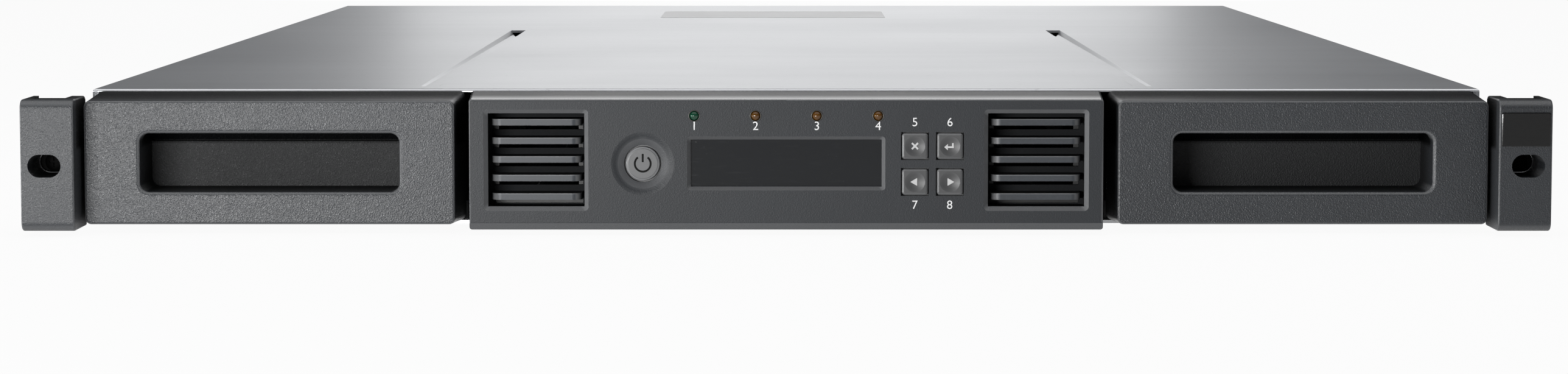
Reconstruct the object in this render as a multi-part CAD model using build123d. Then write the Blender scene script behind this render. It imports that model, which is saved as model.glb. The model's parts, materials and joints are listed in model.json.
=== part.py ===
"""Rack-mount data tape library, one rack unit high: two pull-out magazines and a control panel at the front,
a shuttle with a turntable between the magazines, and a tape drive, power supply and controller at the back.

Millimetres. +X is right seen from the front, +Y goes to the back and +Z is up. The origin is the middle of
the underside of the whole object."""

import os

from build123d import *

# Case
body_width = 448.8
body_depth = 726.0
body_height = 43.6
sheet = 1.0
cover_flange = 12.0
rear_recess = 2.0
seat_gap = 0.3
running_gap = 0.05

# Pressed grooves in the cover
groove_offset = 116.5
groove_start = 14.0
groove_length = 422.0
groove_width = 4.6
groove_depth = 1.8
groove_slope = 0.8
groove_lance = 22.0

# Rack ears and brackets
rack_lip = 15.6
ear_reach = 42.0
ear_depth = 21.0
ear_overlap = 1.2
ear_bottom = 1.2
ear_top_drop = 1.0
ear_wall = 2.0
ear_round = 3.0
ear_notch_width = 10.5
ear_notch_depth = 0.7
bracket_sheet = 2.0
bracket_leg = 1.5
bracket_leg_length = 61.0
bracket_leg_bottom = 4.0
rack_hole_inset = 7.45
rack_hole_width = 10.4
rack_hole_height = 7.2
rack_hole_level = 21.8
boss_wall = 1.8

# Control panel
panel_width = 199.7
panel_reach = 36.0
panel_bottom = 1.2
panel_top_drop = 1.3
panel_wall = 2.5
panel_flare = 1.95
panel_rise = 0.6
panel_chamfer = 2.2
bezel_gap = 0.6
vent_margin = 5.85
vent_width = 30.4
vent_bottom_margin = 7.3
vent_top_margin = 4.4
vent_bevel = 1.3
vent_duct_wall = 1.4
vent_duct_depth = 14.5
louvre_count = 5
louvre_thickness = 2.0
louvre_setback = 3.0
louvre_round = 3.0
window_key_gap = 10.4
window_height = 14.85
window_level = 22.2
window_bevel = 1.1
window_thickness = 1.5
window_lap = 1.6
lamp_diameter = 3.0
lamp_inset = 2.3
lamp_count = 4
lamp_level = 37.2
lamp_clearance = 0.15
power_vent_gap = 18.4
power_level = 22.05
power_diameter = 10.8
power_clearance = 0.5
power_dish_diameter = 17.6
power_dish_depth = 2.2
power_dish_round = 5.0
power_edge_round = 0.8
power_travel = 1.2
key_size = 8.0
key_clearance = 0.4
key_vent_gap = 12.1
key_pitch_across = 11.0
key_lower_level = 16.4
key_pitch_up = 11.3
key_proud = 0.8
key_travel = 0.8
key_bevel = 0.55
key_dimple = 6.4
key_dimple_depth = 0.55
key_lip = 1.2
board_thickness = 1.6
board_standoff = 2.0
board_vent_gap = 5.6
switch_height = 5.0
switch_size = 6.0
panel_boss = 6.0
panel_bracket_setback = 15.5
panel_bracket_foot = 9.0

# Magazines
magazine_front = 30.3
magazine_panel_gap = 5.05
magazine_bottom = 2.4
magazine_top_drop = 2.1
magazine_flare = 1.2
magazine_rise = 1.4
magazine_side_gap = 1.3
magazine_corner = 2.0
magazine_edge = 0.8
magazine_wall = 2.5
pull_margin = 17.6
pull_height = 18.5
pull_depth = 24.0
pull_wall = 2.0
pull_corner = 2.8
pull_lip_round = 1.3
pull_hook_up = 3.0
pull_hook_down = 4.0
pull_hook_lip = 7.0
cartridge_width = 105.4
cartridge_height = 21.5
deck_level = 8.5
slot_count = 4
slot_slack = 1.0
slot_wall = 2.0
tray_start = 4.0
tray_floor = 2.2
tray_side = 2.4
tray_wall_gap = 0.8
tray_top_gap = 2.6
tray_mouth = 7.0
tray_keeper = 12.0
tray_window_width = 60.0
tray_window_height = 14.0
tray_hole_radius = 21.5
guide_gap = 2.0
guide_width = 2.8
guide_height = 6.0

# Magazine latches
latch_inset = 43.5
latch_arm = 38.0
latch_bar = 5.0
latch_thickness = 3.5
latch_level = 3.0
latch_tooth = 3.4
latch_bite = 2.5
latch_release = 0.6
latch_setback = 8.0
latch_pin = 2.5
tongue_width = 6.0
tongue_length = 15.0
solenoid_width = 14.0
solenoid_length = 24.0
solenoid_height = 15.0

# Shuttle, turntable and picker
rod_gap = 4.5
rod_diameter = 4.0
rod_level = 5.2
rod_start = 14.0
rod_end = 24.0
rod_block_width = 7.0
rod_block_length = 6.0
carriage_half_length = 66.0
carriage_half_width = 80.0
carriage_plate = 2.0
carriage_block_width = 9.0
carriage_block_length = 60.0
carriage_clearance = 1.6
pivot_radius = 15.0
pivot_wall = 10.0
turntable_radius = 75.0
turntable_plate = 2.0
frame_wall = 2.0
frame_half_length = 52.0
frame_headroom = 6.0
frame_bridge = 1.5
frame_bridge_length = 44.0
frame_ledge = 2.5
frame_ledge_thickness = 0.6
picker_block = 16.0
picker_arm_width = 6.0
picker_arm_offset = 41.0
picker_arm_thickness = 2.0
picker_hook = 3.0
picker_hook_drop = 3.5
picker_reach = 58.0
reader_width = 10.0
reader_length = 8.0
reader_height = 18.0

# Shuttle drive
belt_rod_gap = 12.0
belt_thickness = 0.9
belt_width = 5.2
belt_level = 2.2
pulley_radius = 4.5
idler_setback = 24.0
motor_gap = 12.9
motor_side = 35.0
motor_top_gap = 5.3
motor_corner = 4.0
motor_plate = 1.3
motor_shaft = 2.5
clamp_wall = 1.4
clamp_length = 16.0

# Tape drive
drive_width = 146.0
drive_depth = 214.0
drive_wall = 1.5
drive_bezel = 6.0
drive_bay_depth = 115.0
mouth_side_gap = 1.0
mouth_top_gap = 5.0
door_thickness = 1.5
door_pin = 1.0
door_pin_length = 1.2
door_gap = 0.5
door_hinge_drop = 0.6
sas_width = 26.0
sas_height = 9.0
sas_depth = 14.0
sas_pitch = 34.0

# Power supply, fan and controller
service_gap = 42.4
supply_gap = 3.0
supply_wall_gap = 8.4
supply_top_gap = 2.6
supply_slot = 3.0
supply_slot_pitch = 8.0
inlet_width = 30.0
inlet_height = 24.0
inlet_flange = 2.0
inlet_body = 18.0
inlet_mouth_width = 24.0
inlet_mouth_height = 16.4
inlet_mouth_depth = 15.0
inlet_pin_width = 4.0
inlet_pin_thickness = 2.0
inlet_pin_length = 9.0
inlet_pin_pitch = 7.0
fan_gap = 6.0
fan_side = 38.0
fan_depth = 15.0
fan_bore = 17.5
fan_hub = 9.0
fan_tip_gap = 0.6
fan_blades = 7
fan_blade_thickness = 1.0
fan_blade_chord = 8.0
fan_blade_pitch = 38.0
fan_spoke = 2.4
fan_shaft = 1.5
controller_gap = 7.0
controller_wall_gap = 8.4
controller_level = 5.0
standoff_radius = 3.0
standoff_inset = 6.0
jack_inset = 15.5
jack_width = 16.0
jack_height = 13.5
jack_depth = 21.0
jack_mouth_width = 11.8
jack_mouth_height = 8.0
jack_mouth_depth = 14.0
usb_pitch = 25.0
usb_width = 14.5
usb_height = 7.2
usb_depth = 17.0
usb_wall = 0.7
usb_tongue = 1.9
cutout_gap = 0.3
rear_vent_count = 6
rear_vent_inset = 8.0
rear_vent_gap = 11.75
rear_vent_height = 3.0
rear_vent_pitch = 5.6

# Places worked out from the sizes above
half_body = body_width / 2
half_rack = half_body + rack_lip
front = -(ear_reach + body_depth) / 2
cover_front = front + ear_reach
rear = cover_front + body_depth
floor_top = sheet
cover_under = body_height - sheet
wall_out = half_body - sheet
wall_in = wall_out - sheet
rear_face = rear - rear_recess
rear_inside = rear_face - sheet
rack_plane = front + ear_depth
ear_inner = half_body - ear_overlap
rack_hole_x = half_rack - rack_hole_inset
ear_top = body_height - ear_top_drop

panel_front = cover_front - panel_reach
panel_back = cover_front - bezel_gap
panel_half = panel_width / 2
panel_top = body_height - panel_top_drop
panel_inside = panel_front + panel_wall
bracket_front = panel_front + panel_bracket_setback
board_back = bracket_front - board_standoff
board_front = board_back - board_thickness
tongue_front = bracket_front - seat_gap
vent_bottom = panel_bottom + vent_bottom_margin
vent_top = panel_top - vent_top_margin
vent_offset = panel_half - vent_margin - vent_width / 2
vent_inner = vent_offset - vent_width / 2
key_left = vent_inner - key_vent_gap - key_pitch_across
window_width = 2 * (key_left - window_key_gap)
lamp_pitch = (window_width - lamp_inset) / (lamp_count - 1)
power_offset = power_vent_gap - vent_inner
board_half_width = vent_inner - board_vent_gap

mag_front = cover_front - magazine_front
mag_back = cover_front - bezel_gap
mag_inner = panel_half + magazine_panel_gap
mag_outer = wall_out - magazine_side_gap
mag_top = body_height - magazine_top_drop
mag_middle = (mag_inner + mag_outer) / 2
pull_level = (magazine_bottom + mag_top) / 2
pull_width = mag_outer - mag_inner - 2 * pull_margin

rod_offset = turntable_radius + carriage_block_width / 2 + rod_gap
belt_offset = rod_offset + belt_rod_gap
guide_outer = belt_offset + pulley_radius + belt_thickness + guide_gap + guide_width

slot_pitch = cartridge_width + slot_slack + slot_wall
tray_front = cover_front + tray_start
tray_rear = tray_front + slot_count * slot_pitch + slot_wall
tray_inner = guide_outer + seat_gap
tray_outer = wall_in - tray_wall_gap
tray_bottom = floor_top + seat_gap
tray_top = cover_under - tray_top_gap
cartridge_top = deck_level + cartridge_height
first_slot = tray_front + slot_wall + (slot_pitch - slot_wall) / 2
slot_centres = [first_slot + k * slot_pitch for k in range(slot_count)]
mouth_edge = tray_inner + tray_mouth

drive_front = rear_inside - drive_depth
drive_top = cover_under - seat_gap
shuttle_home = slot_centres[1]
frame_half_width = (cartridge_width + slot_slack) / 2 + frame_wall
arm_bottom = cartridge_top + 2 * seat_gap + frame_ledge_thickness
bridge_bottom = cartridge_top + frame_headroom
turntable_top = deck_level - seat_gap
turntable_bottom = turntable_top - turntable_plate
carriage_bottom = floor_top + carriage_clearance
idler_y = cover_front + idler_setback
motor_y = tray_rear + motor_gap + motor_side / 2
latch_offset = tray_inner + latch_inset
latch_pivot_x = latch_offset - latch_release - latch_bite - latch_bar / 2
latch_tip_y = tray_rear + latch_setback
latch_pivot_y = latch_tip_y + latch_arm
solenoid_y = latch_pivot_y + latch_bar

rear_bay_front = solenoid_y + solenoid_length / 2 + service_gap
fan_left = drive_width / 2 + fan_gap
supply_left = fan_left + fan_side + supply_gap
supply_right = wall_in - supply_wall_gap
controller_left = controller_wall_gap - wall_in
controller_right = -rod_offset - rod_block_width / 2 - controller_gap
jack_offset = controller_right - jack_inset
usb_offset = jack_offset - usb_pitch
rear_vent_left = controller_left + rear_vent_inset
rear_vent_right = usb_offset - usb_width / 2 - rear_vent_gap


def block(x, y, z):
    """A box given by its low and high face along each axis."""
    centre = Pos((x[0] + x[1]) / 2, (y[0] + y[1]) / 2, (z[0] + z[1]) / 2)
    return centre * Box(x[1] - x[0], y[1] - y[0], z[1] - z[0])


def facing(x, y, z):
    """A sketch plane that faces the front: its own x runs along +X and its own y along +Z."""
    return Plane(origin=(x, y, z), x_dir=(1, 0, 0), z_dir=(0, -1, 0))


def taper_box(near, y_near, far, y_far, corner):
    """A rounded box along Y whose section changes evenly. near and far are (x low, x high, z low, z high)."""
    sections = []
    for (x0, x1, z0, z1), y in ((near, y_near), (far, y_far)):
        outline = RectangleRounded(x1 - x0, z1 - z0, corner)
        sections.append(facing((x0 + x1) / 2, y, (z0 + z1) / 2) * outline)
    return loft(sections, ruled=True)


def inset(rect, by):
    """The rectangle with each side moved in."""
    return (rect[0] + by, rect[1] - by, rect[2] + by, rect[3] - by)


def rod(x, y, z, radius):
    """A round bar along Y between two y values."""
    return Pos(x, (y[0] + y[1]) / 2, z) * Rot(90, 0, 0) * Cylinder(radius, y[1] - y[0])


def post(x, y, z, radius):
    """An upright round bar between two z values."""
    return Pos(x, y, (z[0] + z[1]) / 2) * Cylinder(radius, z[1] - z[0])


def left_of(part):
    """The same piece on the other side of the object."""
    return mirror(part, about=Plane.YZ)


# Case

def base_tray():
    floor = block((-wall_out, wall_out), (cover_front, rear), (0, floor_top))
    tongue_x = (-panel_half + panel_wall, panel_half - panel_wall)
    tongue = block(tongue_x, (tongue_front, cover_front), (0, floor_top))
    walls = [
        block(sorted((side * wall_in, side * wall_out)), (cover_front, rear), (0, cover_under))
        for side in (-1, 1)
    ]
    tray = floor + tongue + walls
    bend = tray.edges().filter_by(Axis.Y).group_by(Axis.Z)[0].sort_by(Axis.X)
    tray = fillet([bend[0], bend[-1]], sheet * 0.9)
    for x in (controller_left + standoff_inset, controller_right - standoff_inset):
        for y in (rear_bay_front + standoff_inset, rear_inside - 5 * standoff_inset):
            tray += post(x, y, (floor_top, controller_level), standoff_radius)
    pin_z = (floor_top, latch_level + latch_thickness)
    for side in (-1, 1):
        tray += post(side * latch_pivot_x, latch_pivot_y, pin_z, latch_pin)
    return tray


def cover_groove(side, grow):
    """The pressed groove as a solid that deepens to the back, or its underside where grow is the sheet."""
    start = cover_front + groove_start
    ends = ((start, groove_depth / 4), (start + groove_length, groove_depth))
    sections = []
    for y, depth in ends:
        top = groove_width / 2 + groove_slope + grow
        foot = groove_width / 2 + grow
        with BuildSketch(facing(side * groove_offset, y, body_height - grow)) as section:
            with BuildLine():
                Polyline((-top, 0), (-foot, -depth), (foot, -depth), (top, 0), close=True)
            make_face()
        sections.append(section.sketch)
    return loft(sections, ruled=True)


def top_cover():
    cover = block((-half_body, half_body), (cover_front, rear), (cover_under, body_height))
    for side in (-1, 1):
        edge = sorted((side * wall_out, side * half_body))
        cover += block(edge, (cover_front, rear), (body_height - cover_flange, cover_under))
    top = cover.faces().sort_by(Axis.Z)[-1].edges()
    rounded = top.filter_by(Axis.Y) + top.filter_by(Axis.X).sort_by(Axis.Y)[:1]
    cover = fillet(rounded, sheet * 0.9)
    groove_end = cover_front + groove_start + groove_length
    for side in (-1, 1):
        cover += cover_groove(side, sheet)
        cover -= cover_groove(side, 0)
        lance = (groove_end - groove_lance, groove_end)
        foot = (side * groove_offset - groove_width / 2, side * groove_offset + groove_width / 2)
        slit = Plane.XY * make_face(Polyline(
            (foot[0], lance[1]), (foot[1], lance[1]), ((foot[0] + foot[1]) / 2, lance[0]), close=True))
        cover -= extrude(slit, body_height)
    return cover


def rear_panel():
    panel = block((-wall_in, wall_in), (rear_inside, rear_face), (floor_top, cover_under))
    through = (rear_inside - sheet, rear_face + sheet)
    lip = 2 * sheet
    drive_x = (-drive_width / 2 + lip, drive_width / 2 - lip)
    panel -= block(drive_x, through, (floor_top + lip, drive_top - lip))
    supply_x = (supply_left + lip, supply_right - lip)
    panel -= block(supply_x, through, (floor_top + lip, cover_under - supply_top_gap - lip))
    fan = facing(fan_left + fan_side / 2, rear_face + sheet, floor_top + fan_side / 2)
    rings = Sketch()
    for outer in (fan_bore - 1, fan_bore * 0.7, fan_bore * 0.4):
        rings += Circle(outer) - Circle(outer - fan_bore * 0.18)
    rings -= Rectangle(fan_side, fan_spoke) + Rectangle(fan_spoke, fan_side)
    panel -= extrude(fan * rings, 3 * sheet)
    jack_top = controller_level + board_thickness + jack_height
    usb_top = controller_level + board_thickness + usb_height
    low = controller_level + board_thickness - cutout_gap
    for middle, width, top in ((jack_offset, jack_width, jack_top), (usb_offset, usb_width, usb_top)):
        reach = width / 2 + cutout_gap
        panel -= block((middle - reach, middle + reach), through, (low, top + cutout_gap))
    for k in range(rear_vent_count):
        level = floor_top + 2 * rear_vent_height + k * rear_vent_pitch
        vent = SlotOverall(rear_vent_right - rear_vent_left, rear_vent_height)
        centre = facing((rear_vent_left + rear_vent_right) / 2, rear_face + sheet, level)
        panel -= extrude(centre * vent, 3 * sheet)
    return panel


# Rack ears

def rack_slot(y):
    """The oval screw hole between two y values, on the right."""
    centre = facing(rack_hole_x, y[1], rack_hole_level)
    return extrude(centre * SlotOverall(rack_hole_width, rack_hole_height), y[1] - y[0])


def rack_bracket():
    tab_y = (rack_plane, rack_plane + bracket_sheet)
    tab = block((wall_out, half_rack - ear_wall), tab_y, (ear_bottom + sheet, ear_top - sheet))
    leg_z = (bracket_leg_bottom, body_height - cover_flange - 2 * sheet)
    leg = block((wall_out, wall_out + bracket_leg), (rack_plane, rack_plane + bracket_leg_length), leg_z)
    return tab + leg - rack_slot((tab_y[0] - sheet, tab_y[1] + sheet))


def ear_cover():
    ear = block((ear_inner, half_rack), (front, rack_plane), (ear_bottom, ear_top))
    face = ear.faces().sort_by(Axis.Y)[0]
    level = face.edges().filter_by(Axis.X)
    ear = fillet(level, ear_round)
    upright = ear.faces().sort_by(Axis.Y)[0].edges().filter_by(Axis.Z)
    ear = fillet(upright, ear_wall / 3)
    hollow_x = (ear_inner + ear_wall, half_rack - ear_wall)
    ear -= block(hollow_x, (front + 2 * ear_wall, rack_plane), (ear_bottom + ear_wall, ear_top - ear_wall))
    boss = facing(rack_hole_x, rack_plane, rack_hole_level)
    boss_outline = SlotOverall(rack_hole_width + 2 * boss_wall, rack_hole_height + 2 * boss_wall)
    ear += extrude(boss * boss_outline, ear_depth - ear_wall)
    ear -= rack_slot((front - sheet, rack_plane + sheet))
    notch = (rack_hole_x - ear_notch_width / 2, rack_hole_x + ear_notch_width / 2)
    ear -= block(notch, (front + 2 * ear_round, rack_plane + sheet), (ear_top - ear_notch_depth, body_height))
    return ear


# Control panel

def panel_sections():
    near = (-panel_half, panel_half, panel_bottom, panel_top)
    far = (-panel_half - panel_flare, panel_half + panel_flare, panel_bottom, panel_top + panel_rise)
    return near, far


def bevelled_hole(x, z, width, height, bevel):
    """A hole through the panel's skin with a sloping frame round its mouth."""
    mouth = (x - width / 2 - bevel, x + width / 2 + bevel, z - height / 2 - bevel, z + height / 2 + bevel)
    depth = panel_wall * 0.7
    frame = taper_box(mouth, panel_front, inset(mouth, bevel), panel_front + depth, bevel)
    throat = inset(mouth, bevel)
    return frame + block(throat[:2], (panel_front, panel_inside + sheet), throat[2:])


def key_places():
    for name, column, row in (("cancel", 0, 1), ("enter", 1, 1), ("previous", 0, 0), ("next", 1, 0)):
        yield name, key_left + column * key_pitch_across, key_lower_level + row * key_pitch_up


def lamp_places():
    for k in range(lamp_count):
        yield k * lamp_pitch - (window_width - lamp_inset) / 2, lamp_level


def panel_boss_places():
    edge = panel_boss / 2 + panel_wall
    for x in (-board_half_width, board_half_width):
        for z in (panel_bottom + edge, panel_top - edge):
            yield x, z


def control_panel():
    near, far = panel_sections()
    shell = taper_box(near, panel_front, far, panel_back, panel_wall / 3)
    wedge = Plane.YZ * make_face(Polyline(
        (panel_front, panel_bottom), (panel_front, panel_bottom + panel_chamfer),
        (panel_front + panel_chamfer / 2, panel_bottom), close=True))
    shell -= extrude(wedge, panel_width, both=True)
    face = shell.faces().sort_by(Axis.Y)[0]
    shell = fillet(face.edges(), panel_wall / 5)
    shell -= taper_box(
        inset(near, panel_wall), panel_inside, inset(far, panel_wall), panel_back + sheet, panel_wall / 5)
    trim_x = (-panel_half + panel_wall, panel_half - panel_wall)
    shell -= block(trim_x, (tongue_front - seat_gap, panel_back), (0, panel_bottom + 2 * panel_wall))
    for x, z in panel_boss_places():
        shell += rod(x, (panel_inside - sheet, bracket_front), z, panel_boss / 2)
    for side in (-1, 1):
        level = (vent_bottom + vent_top) / 2
        shell -= bevelled_hole(side * vent_offset, level, vent_width, vent_top - vent_bottom, vent_bevel)
    shell -= bevelled_hole(0, window_level, window_width, window_height, window_bevel)
    through = (panel_front - sheet, panel_inside + sheet)
    for x, z in lamp_places():
        shell -= rod(x, through, z, lamp_diameter / 2 + lamp_clearance)
    reach = key_size / 2 + key_clearance
    for _, x, z in key_places():
        shell -= block((x - reach, x + reach), through, (z - reach, z + reach))
    rim = power_dish_diameter / 2
    bowl = (rim**2 + power_dish_depth**2) / (2 * power_dish_depth)
    shell -= Pos(power_offset, panel_front + power_dish_depth - bowl, power_level) * Sphere(bowl)
    circles = shell.edges().filter_by(GeomType.CIRCLE)
    shell = fillet(circles.filter_by(lambda edge: abs(edge.radius - rim) < seat_gap), power_dish_round)
    shell -= rod(power_offset, through, power_level, power_diameter / 2 + power_clearance)
    return shell


def vent_grille(side):
    """A duct behind the vent with louvres that stand forward from its slotted back wall."""
    x = side * vent_offset
    level = (vent_bottom + vent_top) / 2
    height = vent_top - vent_bottom
    clear = (x - vent_width / 2 - seat_gap, x + vent_width / 2 + seat_gap)
    clear_z = (vent_bottom - seat_gap, vent_top + seat_gap)
    back = panel_front + vent_duct_depth
    outside = block(
        (clear[0] - vent_duct_wall, clear[1] + vent_duct_wall), (panel_inside, back),
        (clear_z[0] - vent_duct_wall, clear_z[1] + vent_duct_wall))
    grille = outside - block(clear, (panel_inside, back - vent_duct_wall), clear_z)
    pitch = height / louvre_count
    half = vent_width / 2 - louvre_thickness / 2
    length = back - vent_duct_wall - (panel_front + louvre_setback)
    for k in range(louvre_count):
        z = vent_bottom + (k + 0.5) * pitch
        plan = Plane(origin=(x, back - vent_duct_wall, z - louvre_thickness / 2)) * make_face(
            FilletPolyline((half, 0), (half, -length), (-half, -length), (-half, 0), radius=louvre_round)
            + Line((-half, 0), (half, 0)))
        grille += extrude(plan, louvre_thickness)
        slot_z = (z - pitch / 2, z - louvre_thickness / 2 - vent_duct_wall / 2)
        grille -= block((x - half, x + half), (back - 2 * vent_duct_wall, back + sheet), slot_z)
    return grille


def display_window():
    half = window_width / 2 + window_lap
    reach = window_height / 2 + window_lap
    depth = (panel_inside, panel_inside + window_thickness)
    return block((-half, half), depth, (window_level - reach, window_level + reach))


def display_module():
    half = window_width / 2 + 2 * window_lap
    reach = window_height / 2 + 2 * window_lap
    depth = (panel_inside + window_thickness, board_front)
    return block((-half, half), depth, (window_level - reach, window_level + reach))


def panel_board():
    half = board_half_width - panel_boss / 2 - seat_gap
    edge = panel_wall + seat_gap
    return block((-half, half), (board_front, board_back), (panel_bottom + 2 * panel_wall, panel_top - edge))


def switch_places():
    yield power_offset, power_level
    for _, x, z in key_places():
        yield x, z


def panel_switches():
    """Small push switches on the board, one behind each button."""
    half = switch_size / 2
    switches = []
    for x, z in switch_places():
        case_y = (board_front - switch_height * 0.7, board_front)
        case = block((x - half, x + half), case_y, (z - half, z + half))
        plunger = rod(x, (board_front - switch_height, case_y[0]), z, switch_size / 4)
        switches.append(case + plunger)
    return Compound(children=switches)


def panel_bracket():
    """Sheet plate behind the panel with a foot on the base and windows behind the vents."""
    half = panel_half - panel_wall - 2 * sheet
    plate_y = (bracket_front, bracket_front + sheet)
    plate = block((-half, half), plate_y, (floor_top, panel_top - panel_wall - seat_gap))
    foot_half = rod_offset - rod_block_width
    foot_y = (bracket_front, bracket_front + panel_bracket_foot)
    plate += block((-foot_half, foot_half), foot_y, (floor_top, floor_top + sheet))
    for side in (-1, 1):
        x = side * vent_offset
        hole = (x - vent_width / 2 + panel_wall, x + vent_width / 2 - panel_wall)
        hole_z = (vent_bottom + panel_wall, vent_top - panel_wall)
        plate -= block(hole, (plate_y[0] - sheet, plate_y[1] + sheet), hole_z)
    for x in (-board_half_width / 2, board_half_width / 2):
        for z in (panel_bottom + 4 * panel_wall, panel_top - 3 * panel_wall):
            plate += rod(x, (board_back, bracket_front), z, panel_boss / 2)
    return plate


def status_lamp(x, z):
    """A lens with a domed tip that stands on the board and looks out through the panel."""
    radius = lamp_diameter / 2
    dome_base = panel_front + radius * 0.4
    return rod(x, (dome_base, board_front), z, radius) + Pos(x, dome_base, z) * Sphere(radius)


def panel_key(x, z):
    """A square key with a round dimple, a lip that stops behind the panel and a stem to its switch."""
    half = key_size / 2
    face_y = panel_front - key_proud
    lip_y = panel_inside + seat_gap
    cap = block((x - half, x + half), (face_y, lip_y + key_lip), (z - half, z + half))
    cap = fillet(cap.edges().filter_by(Axis.Y), 2 * key_clearance)
    cap = chamfer(cap.faces().sort_by(Axis.Y)[0].edges(), key_bevel)
    rim = key_dimple / 2
    bowl = (rim**2 + key_dimple_depth**2) / (2 * key_dimple_depth)
    cap -= Pos(x, face_y + key_dimple_depth - bowl, z) * Sphere(bowl)
    reach = half + key_lip
    cap += block((x - reach, x + reach), (lip_y, lip_y + key_lip), (z - reach, z + reach))
    stem_end = board_front - switch_height - key_travel - running_gap
    return cap + rod(x, (lip_y, stem_end), z, half / 2)


def power_button():
    radius = power_diameter / 2
    lip_y = panel_inside + seat_gap
    face_y = panel_front + power_dish_depth / 3
    button = rod(power_offset, (face_y, lip_y + key_lip), power_level, radius)
    button = fillet(button.faces().sort_by(Axis.Y)[0].edges(), power_edge_round)
    button += rod(power_offset, (lip_y, lip_y + key_lip), power_level, radius + key_lip)
    stem_end = board_front - switch_height - power_travel - running_gap
    return button + rod(power_offset, (lip_y, stem_end), power_level, radius / 3)


# Magazines

def magazine_bezel():
    near = (mag_inner, mag_outer, magazine_bottom, mag_top)
    far = (mag_inner - magazine_flare, mag_outer + magazine_flare / 2,
           magazine_bottom - magazine_flare, mag_top + magazine_rise)
    bezel = taper_box(near, mag_front, far, mag_back, magazine_corner)
    bezel = fillet(bezel.faces().sort_by(Axis.Y)[0].edges(), magazine_edge)
    hollow = taper_box(
        inset(near, magazine_wall), mag_front + magazine_wall,
        inset(far, magazine_wall), mag_back, magazine_corner / 2)
    bezel -= hollow
    half = pull_width / 2
    low = pull_level - pull_height / 2
    high = pull_level + pull_height / 2
    hook_y = (mag_front + pull_hook_lip, mag_back - pull_wall)
    hook_z = (high - pull_hook_down, high + pull_hook_up)
    span = (mag_middle - half, mag_middle + half)
    outer = (span[0] - pull_wall, span[1] + pull_wall)
    cup_y = (mag_front + magazine_wall / 2, mag_front + pull_depth + pull_wall)
    bezel += block(outer, cup_y, (low - pull_wall, high + pull_wall))
    bezel += block(outer, (hook_y[0] - pull_wall, mag_back), (hook_z[0] - pull_wall, hook_z[1] + pull_wall))
    mouth = RectangleRounded(pull_width, pull_height, pull_corner)
    bezel -= extrude(facing(mag_middle, mag_front + pull_depth, pull_level) * mouth, pull_depth + sheet)
    bezel -= block(span, hook_y, hook_z)
    face = bezel.faces().sort_by(Axis.Y)[0]
    return fillet(face.inner_wires()[0].edges(), pull_lip_round)


def magazine_tray():
    """A deck, side wall and dividers that make a row of slots, open towards the middle of the object."""
    span_y = (mag_back, tray_rear)
    inside = tray_outer - tray_side
    wall_z = (deck_level, cartridge_top - seat_gap)
    deck_y = (tray_front, tray_rear)
    deck_under = deck_level - tray_floor
    deck = block((tray_inner, inside), deck_y, (deck_under, deck_level))
    skirt = block((tray_inner, tray_inner + tray_side), deck_y, (tray_bottom, deck_under))
    wall = block((inside, tray_outer), span_y, (tray_bottom, tray_top))
    keeper_z = (cartridge_top + slot_slack, cartridge_top + slot_slack + tray_floor)
    keeper = block((inside - tray_keeper, inside), span_y, keeper_z)
    head = block((tray_inner, inside), (mag_back, tray_front), (tray_bottom, wall_z[1]))
    dividers = [block((tray_inner, inside), (tray_front, tray_front + slot_wall), wall_z)]
    for k in range(1, slot_count + 1):
        wall_y = (tray_front + k * slot_pitch, tray_front + k * slot_pitch + slot_wall)
        dividers.append(block((mouth_edge, inside), wall_y, wall_z))
    middle = (deck_level + cartridge_top) / 2
    for y in slot_centres:
        window = Plane(origin=(tray_outer + sheet, y, middle), x_dir=(0, 1, 0), z_dir=(1, 0, 0))
        wall -= extrude(window * SlotOverall(tray_window_width, tray_window_height), -tray_side - 2 * sheet)
        deck -= post((mouth_edge + tray_outer) / 2, y, (0, deck_level + sheet), tray_hole_radius)
    tongue_x = (latch_offset, latch_offset + tongue_width)
    root_y = tray_rear - 2 * slot_wall
    tongue = block(tongue_x, (root_y, tray_rear + tongue_length), (latch_level, deck_under))
    notch = latch_tooth / 2 + 2 * latch_release
    tongue -= block(
        (latch_offset - sheet, latch_offset + latch_bite + latch_release),
        (latch_tip_y - notch, latch_tip_y + notch), (0, deck_level))
    return Compound(children=[deck, skirt, wall, keeper, head, tongue] + dividers)


def magazine_guide():
    """A floor bar that keeps the magazine straight, tapered at its front end."""
    bar_z = (floor_top, floor_top + guide_height)
    bar = block((guide_outer - guide_width, guide_outer), (tray_front, tray_rear), bar_z)
    lead = bar.faces().sort_by(Axis.Y)[0].edges().filter_by(Axis.Z).sort_by(Axis.X)[-1]
    return chamfer(lead, guide_width / 2)


def latch():
    """A flat lever on its post with a tooth beside the magazine's notch, shown released."""
    z = (latch_level, latch_level + latch_thickness)
    half = latch_bar / 2
    bar = block(
        (latch_pivot_x - half, latch_pivot_x + half),
        (latch_tip_y - latch_tooth / 2, latch_pivot_y + latch_bar), z)
    tooth = block(
        (latch_pivot_x, latch_offset - latch_release),
        (latch_tip_y - latch_tooth / 2, latch_tip_y + latch_tooth / 2), z)
    eye = post(latch_pivot_x, latch_pivot_y, z, latch_bar)
    return bar + tooth + eye - post(latch_pivot_x, latch_pivot_y, (0, body_height), latch_pin + running_gap)


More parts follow.
